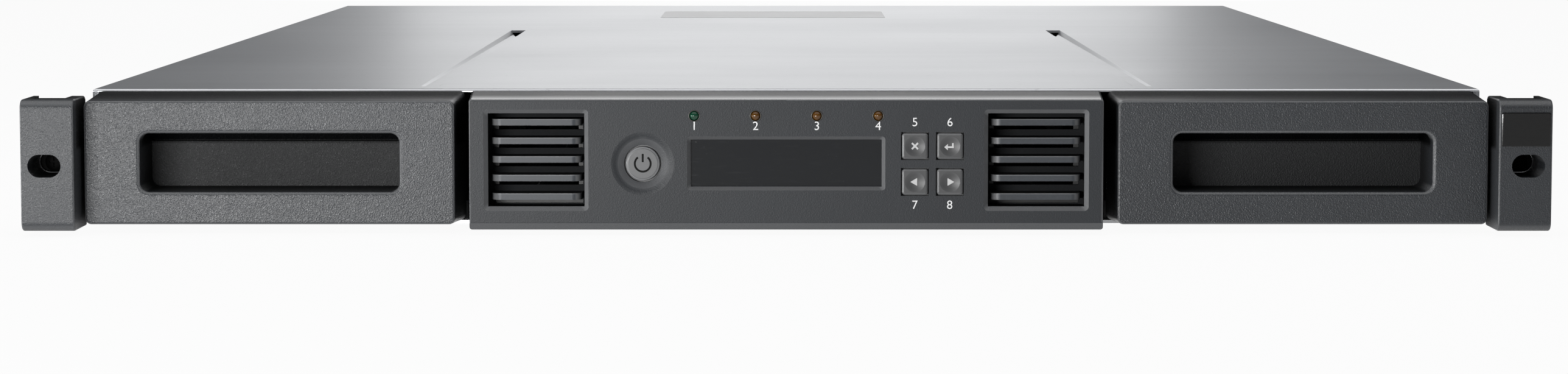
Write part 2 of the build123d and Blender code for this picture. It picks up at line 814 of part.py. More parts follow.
def latch_solenoid():
    """A coil frame on the floor with a plunger that stops beside the lever's tail."""
    reach = latch_pivot_x - latch_bar - sheet
    frame_x = (reach - solenoid_width, reach)
    y = (solenoid_y - solenoid_length / 2, solenoid_y + solenoid_length / 2)
    case = block(frame_x, y, (floor_top, floor_top + solenoid_height))
    case = fillet(case.edges().filter_by(Axis.Z), 2 * sheet)
    level = latch_level + latch_thickness / 2
    plunger_x = (frame_x[1], latch_pivot_x - latch_bar - seat_gap)
    plunger = Pos(sum(plunger_x) / 2, solenoid_y - latch_bar / 2, level) * Rot(0, 90, 0)
    return case + plunger * Cylinder(latch_thickness / 2, plunger_x[1] - plunger_x[0])


# Shuttle

def shuttle_rods():
    ends = (cover_front + rod_start, drive_front - drive_bezel - rod_end)
    return Compound(children=[rod(side * rod_offset, ends, rod_level, rod_diameter / 2) for side in (-1, 1)])


def rod_blocks():
    blocks = []
    front_y = cover_front + rod_start
    back_y = drive_front - drive_bezel - rod_end - rod_block_length
    for side in (-1, 1):
        for y in (front_y, back_y):
            x = side * rod_offset
            bounds = (x - rod_block_width / 2, x + rod_block_width / 2)
            top = rod_level + rod_diameter / 2 + seat_gap
            piece = block(bounds, (y, y + rod_block_length), (floor_top, top))
            hole_y = (y - sheet, y + rod_block_length + sheet)
            blocks.append(piece - rod(x, hole_y, rod_level, rod_diameter / 2 + running_gap))
    return Compound(children=blocks)


def shuttle_carriage():
    y = shuttle_home
    plate_z = (carriage_bottom, carriage_bottom + carriage_plate)
    plate = block(
        (-carriage_half_width, carriage_half_width),
        (y - carriage_half_length, y + carriage_half_length), plate_z)
    plate = fillet(plate.edges().filter_by(Axis.Z), pivot_wall)
    plate += post(0, y, (carriage_bottom, turntable_bottom - seat_gap), pivot_radius + pivot_wall)
    block_y = (y - carriage_block_length / 2, y + carriage_block_length / 2)
    block_z = (carriage_bottom - seat_gap, turntable_top - running_gap)
    for side in (-1, 1):
        x = side * rod_offset
        plate += block((x - carriage_block_width / 2, x + carriage_block_width / 2), block_y, block_z)
    run = belt_offset - pulley_radius
    outer = run - belt_thickness - seat_gap
    inner = run + seat_gap
    clamp_y = (y - clamp_length / 2, y + clamp_length / 2)
    plate += block((rod_offset, outer), clamp_y, (belt_level, block_z[1]))
    plate += block((outer, inner + clamp_wall), clamp_y, (belt_level + belt_width + seat_gap, block_z[1]))
    plate += block((inner, inner + clamp_wall), clamp_y, (belt_level, block_z[1]))
    plate -= post(0, y, (0, body_height), pivot_radius)
    hole_y = (block_y[0] - sheet, block_y[1] + sheet)
    for side in (-1, 1):
        plate -= rod(side * rod_offset, hole_y, rod_level, rod_diameter / 2 + running_gap)
    return plate


def barcode_reader():
    corner_x = -carriage_half_width + pivot_wall / 2
    corner_y = shuttle_home + carriage_half_length
    z = (carriage_bottom + carriage_plate, carriage_bottom + carriage_plate + reader_height)
    case = block((corner_x, corner_x + reader_width), (corner_y - reader_length, corner_y), z)
    case = fillet(case.edges().filter_by(Axis.Z), sheet)
    eye_y = (corner_y - reader_length - sheet, corner_y - sheet)
    return case - rod(corner_x + reader_width / 2, eye_y, sum(z) / 2, reader_width / 4)


def turntable():
    disc = post(0, shuttle_home, (turntable_bottom, turntable_top), turntable_radius)
    disc = fillet(disc.edges().group_by(Axis.Z)[-1], turntable_plate / 4)
    return disc + post(0, shuttle_home, (carriage_bottom, turntable_bottom), pivot_radius - running_gap)


def turntable_frame():
    """Two side walls and a bridge round the cartridge, which enters along +X at rest."""
    inner = frame_half_width - frame_wall
    frame = Part()
    wall_z = (turntable_top, bridge_bottom + frame_bridge)
    for side in (-1, 1):
        wall = sorted((side * inner, side * frame_half_width))
        wall_y = (shuttle_home + wall[0], shuttle_home + wall[1])
        frame += block((-frame_half_length, frame_half_length), wall_y, wall_z)
        ledge = sorted((side * (inner - frame_ledge), side * inner))
        ledge_y = (shuttle_home + ledge[0], shuttle_home + ledge[1])
        ledge_z = (cartridge_top + seat_gap, cartridge_top + seat_gap + frame_ledge_thickness)
        frame += block((-frame_half_length, picker_reach - picker_block), ledge_y, ledge_z)
    bridge_y = (shuttle_home - frame_half_width, shuttle_home + frame_half_width)
    bridge_x = (-frame_half_length, frame_bridge_length - frame_half_length)
    frame += block(bridge_x, bridge_y, (bridge_bottom, bridge_bottom + frame_bridge))
    window = Pos(sum(bridge_x) / 2, shuttle_home, bridge_bottom) * Box(
        frame_bridge_length / 2, frame_half_width, 4 * frame_bridge)
    return frame - window


def picker():
    """A cross block on the frame's ledges with two hooked arms, drawn back at rest."""
    half = frame_half_width - frame_wall - seat_gap
    back = -frame_half_length + 2 * sheet
    z = (arm_bottom, bridge_bottom - seat_gap)
    body = block((back, back + picker_block), (shuttle_home - half, shuttle_home + half), z)
    tip = frame_half_length + 2 * sheet
    for side in (-1, 1):
        y = shuttle_home + side * picker_arm_offset
        arm_y = (y - picker_arm_width / 2, y + picker_arm_width / 2)
        body += block((back, tip), arm_y, (arm_bottom, arm_bottom + picker_arm_thickness))
        body += block((tip - picker_hook, tip), arm_y, (arm_bottom - picker_hook_drop, arm_bottom))
    return body


# Shuttle drive

def shuttle_belt():
    """A flat loop round both pulleys."""
    span = motor_y - idler_y
    middle = (belt_offset, (idler_y + motor_y) / 2, belt_level)
    plane = Plane(origin=middle, x_dir=(0, 1, 0), z_dir=(0, 0, 1))
    outer = SlotCenterToCenter(span, 2 * (pulley_radius + belt_thickness))
    inner = SlotCenterToCenter(span, 2 * pulley_radius)
    return extrude(plane * (outer - inner), belt_width)


def pulley(y):
    """A plain wheel inside the belt's loop."""
    z = (belt_level, belt_level + belt_width)
    wheel = post(belt_offset, y, z, pulley_radius - seat_gap)
    return wheel - post(belt_offset, y, (0, body_height), motor_shaft + running_gap)


def idler_post():
    stem = post(belt_offset, idler_y, (floor_top, belt_level + belt_width + seat_gap), motor_shaft)
    return stem + post(belt_offset, idler_y, (floor_top, belt_level - seat_gap), 2 * motor_shaft)


def motor_levels():
    plate = belt_level + belt_width + 2 * seat_gap
    return plate, plate + motor_plate


def motor_bracket():
    """A plate over the pulley with a turned-down back leg on the floor."""
    half = motor_side / 2
    z = motor_levels()
    plate = block((belt_offset - half, belt_offset + half), (motor_y - half, motor_y + half), z)
    leg_y = (motor_y + half - motor_plate, motor_y + half)
    plate += block((belt_offset - half, belt_offset + half), leg_y, (floor_top, z[1]))
    return plate - post(belt_offset, motor_y, (z[0] - sheet, z[1] + sheet), 2 * motor_shaft)


def shuttle_motor():
    low = motor_levels()[1]
    half = motor_side / 2
    bounds = (belt_offset - half, belt_offset + half)
    case = block(bounds, (motor_y - half, motor_y + half), (low, cover_under - motor_top_gap))
    case = chamfer(case.edges().filter_by(Axis.Z), motor_corner)
    return case + post(belt_offset, motor_y, (belt_level, low), motor_shaft)


# Tape drive

def mouth_rect():
    half = cartridge_width / 2 + mouth_side_gap
    return (-half, half, deck_level - mouth_side_gap / 2, cartridge_top + mouth_top_gap)


def tape_drive_case():
    """A sheet box with a cartridge bay behind its open front."""
    half = drive_width / 2
    back = rear_inside
    case = block((-half, half), (drive_front, back), (floor_top, drive_top))
    inside = (-half + drive_wall, half - drive_wall)
    case -= block(inside, (drive_front, back - drive_wall), (floor_top + drive_wall, drive_top - drive_wall))
    deck = mouth_rect()[2]
    case += block(inside, (drive_front, back - drive_wall), (deck - drive_wall, deck))
    bay_end = drive_front + drive_bay_depth
    wall_z = (floor_top + drive_wall, drive_top - drive_wall)
    case += block(inside, (bay_end, bay_end + drive_wall), wall_z)
    fit = 2 * running_gap
    for x in sas_places():
        case -= sas_block(x, sas_width + fit, sas_height + fit, (back - sas_depth, rear))
    return case


def door_axis():
    return drive_front - drive_bezel / 2, cartridge_top + mouth_top_gap - door_hinge_drop - door_gap


def tape_drive_bezel():
    half = drive_width / 2
    depth = (drive_front - drive_bezel, drive_front)
    plate = block((-half, half), depth, (floor_top, drive_top))
    plate = fillet(plate.faces().sort_by(Axis.Y)[0].edges(), drive_wall)
    mouth = mouth_rect()
    plate -= block(mouth[:2], (depth[0] - sheet, depth[1] + sheet), mouth[2:])
    y, z = door_axis()
    reach = mouth[1] + door_pin_length + running_gap
    return plate - Pos(0, y, z) * Rot(0, 90, 0) * Cylinder(door_pin + running_gap, 2 * reach)


def drive_door():
    """The dust flap in the drive's mouth, on pins at its top edge."""
    mouth = mouth_rect()
    y, z = door_axis()
    half = mouth[1] - door_gap
    flap_y = (y - door_thickness / 2, y + door_thickness / 2)
    flap = block((-half, half), flap_y, (mouth[2] + door_gap, z + door_hinge_drop))
    reach = mouth[1] + door_pin_length - running_gap
    return flap + Pos(0, y, z) * Rot(0, 90, 0) * Cylinder(door_pin, 2 * reach)


def sas_places():
    return -sas_pitch / 2, sas_pitch / 2


def sas_block(x, width, height, y):
    z = drive_top / 2
    return block((x - width / 2, x + width / 2), y, (z - height / 2, z + height / 2))


def sas_sockets():
    """Two data sockets through the back of the drive."""
    sockets = []
    for x in sas_places():
        shell = sas_block(x, sas_width, sas_height, (rear_inside - sas_depth, rear_face + sheet / 2))
        mouth_y = (rear_inside - sas_depth + 2 * sheet, rear)
        sockets.append(shell - sas_block(x, sas_width - 2 * sheet, sas_height - 2 * sheet, mouth_y))
    return Compound(children=sockets)


# Power supply, fan and controller

def power_supply():
    """A sheet box with air slots in its front wall and a hole for the inlet in its back."""
    x = (supply_left, supply_right)
    y = (rear_bay_front, rear_inside)
    z = (floor_top, cover_under - supply_top_gap)
    case = block(x, y, z)
    case -= block((x[0] + sheet, x[1] - sheet), (y[0] + sheet, y[1] - sheet), (z[0] + sheet, z[1] - sheet))
    slot_z = (z[0] + supply_slot_pitch, z[1] - supply_slot_pitch)
    slots = int((x[1] - x[0]) / supply_slot_pitch) - 1
    for k in range(slots):
        middle = x[0] + supply_slot_pitch * (k + 1)
        slot = (middle - supply_slot / 2, middle + supply_slot / 2)
        case -= block(slot, (y[0] - sheet, y[0] + 2 * sheet), slot_z)
    inlet_x, inlet_z = inlet_place()
    hole = (inlet_x - inlet_width / 2, inlet_x + inlet_width / 2)
    level = (inlet_z - inlet_height / 2, inlet_z + inlet_height / 2)
    return case - block(hole, (y[1] - 2 * sheet, y[1] + sheet), level)


def inlet_place():
    return (supply_left + supply_right) / 2, (cover_under - supply_top_gap + floor_top) / 2


def power_inlet():
    """A three-pin appliance inlet with cut lower corners."""
    x, z = inlet_place()
    body = block(
        (x - inlet_width / 2 + running_gap, x + inlet_width / 2 - running_gap),
        (rear_inside - inlet_body, rear_inside),
        (z - inlet_height / 2 + running_gap, z + inlet_height / 2 - running_gap))
    flange = block(
        (x - inlet_width / 2 - 2 * sheet, x + inlet_width / 2 + 2 * sheet),
        (rear_inside, rear_inside + inlet_flange),
        (z - inlet_height / 2 - 2 * sheet, z + inlet_height / 2 + 2 * sheet))
    flange = fillet(flange.edges().filter_by(Axis.Y), 2 * sheet)
    face = rear_inside + inlet_flange
    half_w, half_h = inlet_mouth_width / 2, inlet_mouth_height / 2
    cut = inlet_mouth_height / 4
    outline = make_face(Polyline(
        (-half_w, half_h), (half_w, half_h), (half_w, -half_h + cut), (half_w - cut, -half_h),
        (-half_w + cut, -half_h), (-half_w, -half_h + cut), close=True))
    inlet = body + flange - extrude(facing(x, face, z) * outline, inlet_mouth_depth)
    floor_y = face - inlet_mouth_depth
    for across, up in ((-inlet_pin_pitch, -1), (0, 1), (inlet_pin_pitch, -1)):
        level = z + up * inlet_mouth_height / 8
        inlet += block(
            (x + across - inlet_pin_thickness / 2, x + across + inlet_pin_thickness / 2),
            (floor_y - sheet, floor_y + inlet_pin_length),
            (level - inlet_pin_width / 2, level + inlet_pin_width / 2))
    return inlet


def fan_frame():
    x, z = fan_left + fan_side / 2, floor_top + fan_side / 2
    y = (rear_inside - fan_depth, rear_inside)
    frame = block((fan_left, fan_left + fan_side), y, (floor_top, floor_top + fan_side))
    frame = fillet(frame.edges().filter_by(Axis.Y), 3 * sheet)
    frame -= rod(x, (y[0] - sheet, y[1] + sheet), z, fan_bore)
    hub_y = (y[1] - 2 * fan_spoke, y[1])
    frame += rod(x, hub_y, z, fan_hub)
    for turn in range(3):
        spoke = Box(fan_spoke, 2 * fan_spoke, fan_bore - fan_hub + 2 * sheet)
        turned = Pos(x, sum(hub_y) / 2, z) * Rot(0, 120 * turn + 30, 0)
        frame += turned * Pos(0, 0, (fan_bore + fan_hub) / 2) * spoke
    return frame - rod(x, (y[0], y[1] + sheet), z, fan_shaft + running_gap)


def fan_rotor():
    x, z = fan_left + fan_side / 2, floor_top + fan_side / 2
    y = (rear_inside - fan_depth + sheet, rear_inside - 2 * fan_spoke - seat_gap)
    rotor = rod(x, y, z, fan_hub)
    tip = fan_bore - fan_tip_gap
    ring = rod(x, y, z, tip)
    for k in range(fan_blades):
        blade = Rot(0, 0, fan_blade_pitch) * Box(fan_blade_thickness, fan_blade_chord, tip)
        turned = Pos(x, sum(y) / 2, z) * Rot(0, 360 / fan_blades * k, 0)
        rotor += turned * Pos(0, 0, tip / 2) * blade & ring
    return rotor + rod(x, (y[1], rear_inside - sheet), z, fan_shaft)


def controller_board():
    x = (controller_left, controller_right)
    level = (controller_level, controller_level + board_thickness)
    board = block(x, (rear_bay_front, rear_inside - seat_gap), level)
    return fillet(board.edges().filter_by(Axis.Z), 2 * sheet)


def network_jack():
    z = controller_level + board_thickness
    back = rear_face + sheet / 2
    half = jack_width / 2
    case = block((jack_offset - half, jack_offset + half), (back - jack_depth, back), (z, z + jack_height))
    mouth = jack_mouth_width / 2
    sill = (jack_height - jack_mouth_height) / 2
    hole_y = (back - jack_mouth_depth, back + sheet)
    hole_z = (z + sill, z + sill + jack_mouth_height)
    case -= block((jack_offset - mouth, jack_offset + mouth), hole_y, hole_z)
    key_x = (jack_offset - mouth / 3, jack_offset + mouth / 3)
    return case - block(key_x, hole_y, (z + sheet, z + sill + sheet))


def usb_socket():
    z = controller_level + board_thickness
    back = rear_face + sheet / 2
    half = usb_width / 2
    hole_y = (back - usb_depth + 2 * sheet, back + sheet)
    case = block((usb_offset - half, usb_offset + half), (back - usb_depth, back), (z, z + usb_height))
    hole_x = (usb_offset - half + usb_wall, usb_offset + half - usb_wall)
    case -= block(hole_x, hole_y, (z + usb_wall, z + usb_height - usb_wall))
    tongue_x = (hole_x[0] + usb_wall, hole_x[1] - usb_wall)
    tongue_z = (z + usb_wall, z + usb_wall + usb_tongue)
    return case + block(tongue_x, (hole_y[0] - sheet, back - sheet), tongue_z)


def pieces():
    """Every node by name."""
    nodes = {
        "base_tray": base_tray(),
        "top_cover": top_cover(),
        "rear_panel": rear_panel(),
        "control_panel": control_panel(),
        "display_window": display_window(),
        "display_module": display_module(),
        "panel_board": panel_board(),
        "panel_switches": panel_switches(),
        "panel_bracket": panel_bracket(),
        "power_button": power_button(),
        "shuttle_rods": shuttle_rods(),
        "rod_blocks": rod_blocks(),
        "shuttle_carriage": shuttle_carriage(),
        "barcode_reader": barcode_reader(),
        "turntable": turntable(),
        "turntable_frame": turntable_frame(),
        "picker": picker(),
        "shuttle_belt": shuttle_belt(),
        "drive_pulley": pulley(motor_y),
        "idler_pulley": pulley(idler_y),
        "idler_post": idler_post(),
        "motor_bracket": motor_bracket(),
        "shuttle_motor": shuttle_motor(),
        "tape_drive_case": tape_drive_case(),
        "tape_drive_bezel": tape_drive_bezel(),
        "drive_door": drive_door(),
        "sas_sockets": sas_sockets(),
        "power_supply": power_supply(),
        "power_inlet": power_inlet(),
        "fan_frame": fan_frame(),
        "fan_rotor": fan_rotor(),
        "controller_board": controller_board(),
        "network_jack": network_jack(),
        "usb_socket": usb_socket(),
    }
    for k, (x, z) in enumerate(lamp_places(), 1):
        nodes[f"status_lamp_{k}"] = status_lamp(x, z)
    for name, x, z in key_places():
        nodes[f"{name}_key"] = panel_key(x, z)
    for side, word in ((-1, "left"), (1, "right")):
        nodes[f"{word}_vent_grille"] = vent_grille(side)
    pairs = {
        "rack_bracket": rack_bracket(),
        "ear_cover": ear_cover(),
        "magazine_bezel": magazine_bezel(),
        "magazine_tray": magazine_tray(),
        "magazine_guide": magazine_guide(),
        "latch": latch(),
        "latch_solenoid": latch_solenoid(),
    }
    for name, right in pairs.items():
        nodes[f"right_{name}"] = right
        nodes[f"left_{name}"] = left_of(right)
    return nodes


os.makedirs("parts", exist_ok=True)
for name, shape in pieces().items():
    export_step(shape, f"parts/{name}.step")
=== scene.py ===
import json
import math

import bpy
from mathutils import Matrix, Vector


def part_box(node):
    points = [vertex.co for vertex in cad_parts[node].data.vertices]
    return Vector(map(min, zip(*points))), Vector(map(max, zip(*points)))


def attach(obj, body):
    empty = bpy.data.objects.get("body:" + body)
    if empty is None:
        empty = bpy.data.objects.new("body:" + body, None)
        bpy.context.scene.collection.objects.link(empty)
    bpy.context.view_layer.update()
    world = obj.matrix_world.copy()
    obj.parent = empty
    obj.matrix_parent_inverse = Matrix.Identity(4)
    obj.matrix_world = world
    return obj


# Looks of a rack-mount data tape library: finishes for its solids, printed marks, screws, plates, a label
# and the studio. Metres, with +X right seen from the front, +Y to the back and +Z up.

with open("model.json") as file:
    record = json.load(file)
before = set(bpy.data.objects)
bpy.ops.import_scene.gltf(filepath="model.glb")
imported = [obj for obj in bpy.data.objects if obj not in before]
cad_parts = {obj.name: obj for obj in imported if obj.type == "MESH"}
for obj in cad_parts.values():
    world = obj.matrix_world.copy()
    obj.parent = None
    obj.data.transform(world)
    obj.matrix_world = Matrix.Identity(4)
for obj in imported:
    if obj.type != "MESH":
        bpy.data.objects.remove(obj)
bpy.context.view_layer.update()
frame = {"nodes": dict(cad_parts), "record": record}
nodes = frame["nodes"]
slot_of = {part["node"]: part["material_slot"] for part in frame["record"]["subparts"]}

MM = 0.001
SMOOTH_ANGLE = 22

# Camera
CAMERA_PLACE = (-0.0007, -1.5881, 0.1165)
CAMERA_TILT = 4.806
CAMERA_LENS = 88.52
CAMERA_SENSOR = 36
CAMERA_CLIP = 0.05

# Studio. Each lamp has its power in watts, its size, its place and the point it is turned to.
LAMPS = {
    "back_softbox": (3.0, (0.7, 1.1), (0.0, 1.8, 0.6), (0, 0.1, 0.04)),
    "key_left": (8.6, (0.5, 0.012), (-0.42, -1.25, 0.036), (-0.15, -0.37, 0.024)),
    "fill_front": (0.5, (1.6, 0.9), (0.2, -2.4, 1.0), (0, -0.37, 0.02)),
    "graze_left": (9, (0.5, 0.03), (-1.5, -0.56, 0.024), (0, -0.38, 0.024)),
    "overhead": (19, (3.0, 1.7), (0, -0.52, 1.6), (0, -0.36, 0)),
}
AMBIENT_COLOUR = (0.42, 0.43, 0.45, 1)
AMBIENT_STRENGTH = 0.28
FLOOR_SIZE = 14
FLOOR_DROP = 0.5 * MM
FLOOR_GREY = 0.86
FLOOR_WHITENESS = 0.94

# Tints
NEUTRAL = (1.0, 1.0, 1.0)
COOL = (0.985, 1.0, 1.025)
SLATE = (0.88, 0.99, 1.15)
WARM = (1.04, 1.0, 0.93)
GOLD = (1.0, 0.76, 0.36)

# Louvres in the panel's vents
LOUVRE_COUNT = 5
LOUVRE_SETBACK = 0.5 * MM
DUCT_WALL = 1.7 * MM

# Moulded grain, and the painted shade and painted lip shadow in the magazines' pulls behind the front face
GRAIN_SCALE = 2500
GRAIN_PITS = 2000
GRAIN_DEPTH = 0.16 * MM
HOLLOW_SHADE_START = 4 * MM
HOLLOW_SHADE_END = 18 * MM
LIP_SHADE_START = 4 * MM
LIP_SHADE_END = 6 * MM
LIP_SHADE_LOW = 26.2 * MM
LIP_SHADE_HIGH = 27.6 * MM

# Printed marks
MARK_THICKNESS = 0.08 * MM
NUMERAL_HEIGHT = 2.7 * MM
NUMERAL_SHARE = 0.7
NUMERAL_DROP = 3.3 * MM
KEY_NUMERAL_GAP = 7.4 * MM
KEY_DIMPLE_DEPTH = 0.55 * MM
KEY_MARK_THICKNESS = 0.4 * MM
KEY_MARK_LIFT = 0.08 * MM
KEY_MARK_STROKE = 0.55 * MM
CROSS_ARM = 1.35 * MM
ARROW_RISE = 1.0 * MM
ARROW_RUN = 1.3 * MM
ARROW_HEAD = 1.1 * MM
TRIANGLE_RADIUS = 1.45 * MM
POWER_RING = 2.5 * MM
POWER_STROKE = 0.6 * MM
POWER_GAP = 75
LAMP_COUNT = 4
LAMP_RING = 1.68 * MM
LAMP_RING_BEAD = 0.16 * MM

# Plates, label and screws
EAR_PLATE = (15.2 * MM, 10.6 * MM)
EAR_PLATE_LEVEL = 33.3 * MM
EAR_PLATE_CORNER = 0.5 * MM
EAR_PLATE_THICKNESS = 0.5 * MM
COVER_LABEL = (106 * MM, 75 * MM)
COVER_LABEL_CENTRE = (-6 * MM, 270 * MM)
COVER_LABEL_CORNER = 2 * MM
LABEL_THICKNESS = 0.12 * MM
RACK_SLOT = (232.55 * MM, 21.8 * MM)
RACK_WASHER = (10.0 * MM, 6.8 * MM)
WASHER_THICKNESS = 1.0 * MM
WASHER_CORNER = RACK_WASHER[1] * 0.49
RACK_SCREW = RACK_WASHER[1] * 0.45
RACK_SCREW_RISE = 1.6 * MM
CASE_SCREW = 2.6 * MM
CASE_SCREW_RISE = 1.2 * MM

# Places of the case screws, in millimetres
COVER_SCREWS_Y = (-290, -40, 200, 360)
COVER_SCREWS_Z = 37.6
BRACKET_SHEET = 0.5
BRACKET_SCREWS_Y = (-332, -312)
BRACKET_SCREWS_Z = (10, 24)
REAR_EDGE_SCREWS = ((-217, 38.5), (-217, 5), (217, 38.5), (217, 5), (-85, 38.5), (-85, 5))
FAN_SCREW_REACH = (-15.5, 15.5)
REAR_MODULE_SCREWS = ((127, 7), (127, 34), (207, 7), (207, 34), (-64, 8), (-64, 35), (64, 8), (64, 35))
BOARD_SCREWS_X = (-208, -100.5)
BOARD_SCREWS_Y = (209, 351)

# Inserts, contacts and lights of the rear sockets
INSERT_THICKNESS = 1 * MM
JACK_INSERT = (11.4 * MM, 7.6 * MM)
JACK_INSERT_CORNER = 0.3 * MM
JACK_INSERT_DEPTH = 13.4 * MM
JACK_CONTACTS = 8
JACK_CONTACT_PITCH = 1.02 * MM
JACK_CONTACT_ROOT = (0.4 * MM, 1 * MM, 0.35 * MM)
JACK_CONTACT_RUN = 5 * MM
JACK_CONTACT_DROP = 4 * MM
JACK_CONTACT_DEPTH = 12.5 * MM
JACK_CONTACT_RISE = 3.5 * MM
JACK_LIGHT = (2.4 * MM, 1.6 * MM)
JACK_LIGHT_THICKNESS = 0.3 * MM
JACK_LIGHT_CORNER = 0.3 * MM
JACK_LIGHT_LIFT = 0.05 * MM
JACK_LIGHT_X = 5.6 * MM
JACK_LIGHT_Z = 5.4 * MM
DATA_SOCKET_X = 17 * MM
DATA_INSERT = (23.6 * MM, 6.6 * MM)
DATA_INSERT_CORNER = 0.4 * MM
DATA_INSERT_DEPTH = 2.6 * MM
DATA_TONGUE_INSET = 2.4 * MM
DATA_TONGUE_LENGTH = 8 * MM


# Finishes

class Value:
    """A node's output. Arithmetic on it adds Math nodes."""

    def __init__(self, finish, socket):
        self.finish = finish
        self.socket = socket

    def maths(self, operation, first, second):
        return self.finish.node("ShaderNodeMath", {"operation": operation}, {0: first, 1: second})

    def __add__(self, other):
        return self.maths("ADD", self, other)

    def __radd__(self, other):
        return self.maths("ADD", other, self)

    def __sub__(self, other):
        return self.maths("SUBTRACT", self, other)

    def __rsub__(self, other):
        return self.maths("SUBTRACT", other, self)

    def __mul__(self, other):
        return self.maths("MULTIPLY", self, other)

    def __rmul__(self, other):
        return self.maths("MULTIPLY", other, self)

    def __pow__(self, other):
        return self.maths("POWER", self, other)


class Finish:
    """A procedural material built on one Principled shader."""

    def __init__(self, name, **constants):
        self.material = bpy.data.materials.new(name)
        self.material.use_nodes = True
        self.tree = self.material.node_tree
        self.shader = self.tree.nodes["Principled BSDF"]
        self.place = self.node("ShaderNodeTexCoord", output="Object")
        self.surface(**constants)

    def node(self, kind, settings=None, inputs=None, output=0):
        """Adds a node: its own settings first, then the values or links of its sockets."""
        made = self.tree.nodes.new(kind)
        for name, setting in (settings or {}).items():
            setattr(made, name, setting)
        for name, given in (inputs or {}).items():
            self.feed(made.inputs[name], given)
        if isinstance(output, tuple):
            return [Value(self, made.outputs[name]) for name in output]
        return Value(self, made.outputs[output])

    def feed(self, socket, given):
        if isinstance(given, Value):
            self.tree.links.new(given.socket, socket)
        else:
            socket.default_value = given

    def surface(self, **inputs):
        for name, given in inputs.items():
            label = name.replace("_", " ").title().replace("Ior", "IOR")
            self.feed(self.shader.inputs[label], given)
        return self

    def split(self, vector):
        return self.node("ShaderNodeSeparateXYZ", {}, {"Vector": vector}, ("X", "Y", "Z"))

    def noise(self, scale, detail=2.0, stretch=None, roughness=0.5):
        vector = self.place
        if stretch:
            vector = self.node("ShaderNodeMapping", {}, {"Vector": vector, "Scale": stretch})
        inputs = {"Vector": vector, "Scale": scale, "Detail": detail, "Roughness": roughness}
        return self.node("ShaderNodeTexNoise", {}, inputs)

    def cells(self, scale):
        return self.node("ShaderNodeTexVoronoi", {"feature": "F1"}, {"Vector": self.place, "Scale": scale})

    def step(self, value, low, high):
        """0 below low, 1 above high and even between."""
        inputs = {"Value": value, "From Min": low, "From Max": high}
        return self.node("ShaderNodeMapRange", {"clamp": True}, inputs)

    def blend(self, amount, first, second):
        """A colour between two colours."""
        inputs = {"Factor": amount, 6: first, 7: second}
        return self.node("ShaderNodeMix", {"data_type": "RGBA"}, inputs, 2)

    def bump(self, height, distance, strength=1.0):
        inputs = {"Height": height, "Distance": distance, "Strength": strength}
        return self.node("ShaderNodeBump", {}, inputs)

    def facing(self):
        """The three parts of the surface's direction."""
        return self.split(self.node("ShaderNodeTexCoord", output="Normal"))

    def rubbed_edges(self):
        """1 on bevels and rounds, 0 on faces that are square to the object; it places the painted highlight
        on edges.
        """
        x, y, z = self.facing()
        return self.step(1 - (x ** 4 + y ** 4 + z ** 4), 0.1, 0.42)


def shade(grey, tint=NEUTRAL):
    """An opaque grey with a tint."""
    return tuple(grey * part for part in tint) + (1.0,)


def grained_plastic(name, grey, sparkle, roughness, edge_highlight, node, level=0.5, polish=0.0):
    """Moulded plastic with a spark-eroded grain, painted glints, a painted highlight on its edges, painted
    shade in the pulls and under their lip, and perhaps a polished top.
    """
    finish = Finish(name, specular_ior_level=level)
    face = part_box(node)[0].y
    y, z = finish.split(finish.place)[1:]
    # Painted shade: deeper into the pulls the plastic turns near black, rougher and partly metallic,
    # standing in for the shade in the recess.
    hollow_shade = finish.step(y, face + HOLLOW_SHADE_START, face + HOLLOW_SHADE_END)
    # Painted shadow: a near-black, mostly metallic band just behind the face under the pulls' upper lip,
    # where the lip casts its shadow.
    behind = finish.step(y, face + LIP_SHADE_START, face + LIP_SHADE_END)
    lip_shadow = behind * finish.step(z, LIP_SHADE_LOW, LIP_SHADE_HIGH)
    top = polish * finish.step(finish.facing()[2], 0.85, 0.97)
    grain = finish.noise(GRAIN_SCALE, 1.0)
    pits = finish.cells(GRAIN_PITS)
    cloud = finish.noise(30, 3.0)
    glints = finish.step(grain, 0.55, 0.72)
    edge = finish.rubbed_edges()
    mottle = finish.step(cloud, 0.3, 0.7)
    colour = finish.blend(mottle, shade(grey * 0.9, SLATE), shade(grey * 1.1, SLATE))
    # Painted highlight: pale specks where the grain would glint.
    colour = finish.blend(0.35 * sparkle * glints, colour, shade(grey * 3.5, SLATE))
    colour = finish.blend(0.88 * hollow_shade, colour, shade(grey * 0.1, SLATE))
    colour = finish.blend(0.9 * lip_shadow, colour, shade(grey * 0.05, SLATE))
    # Painted highlight: bevels and rounds turn paler and smoother, outside the pulls.
    colour = finish.blend(0.8 * edge_highlight * edge * (1 - hollow_shade), colour, shade(grey * 3.0 + 0.12, COOL))
    shine = 0.12 * sparkle * glints + 0.14 * edge_highlight * edge + top
    return finish.surface(
        base_color=colour,
        roughness=roughness + 0.06 * cloud + 0.2 * hollow_shade - shine,
        metallic=0.25 * hollow_shade + 0.72 * lip_shadow,
        normal=finish.bump((grain + 0.4 * pits) * (1 - top), GRAIN_DEPTH, 0.75 * sparkle),
    ).material


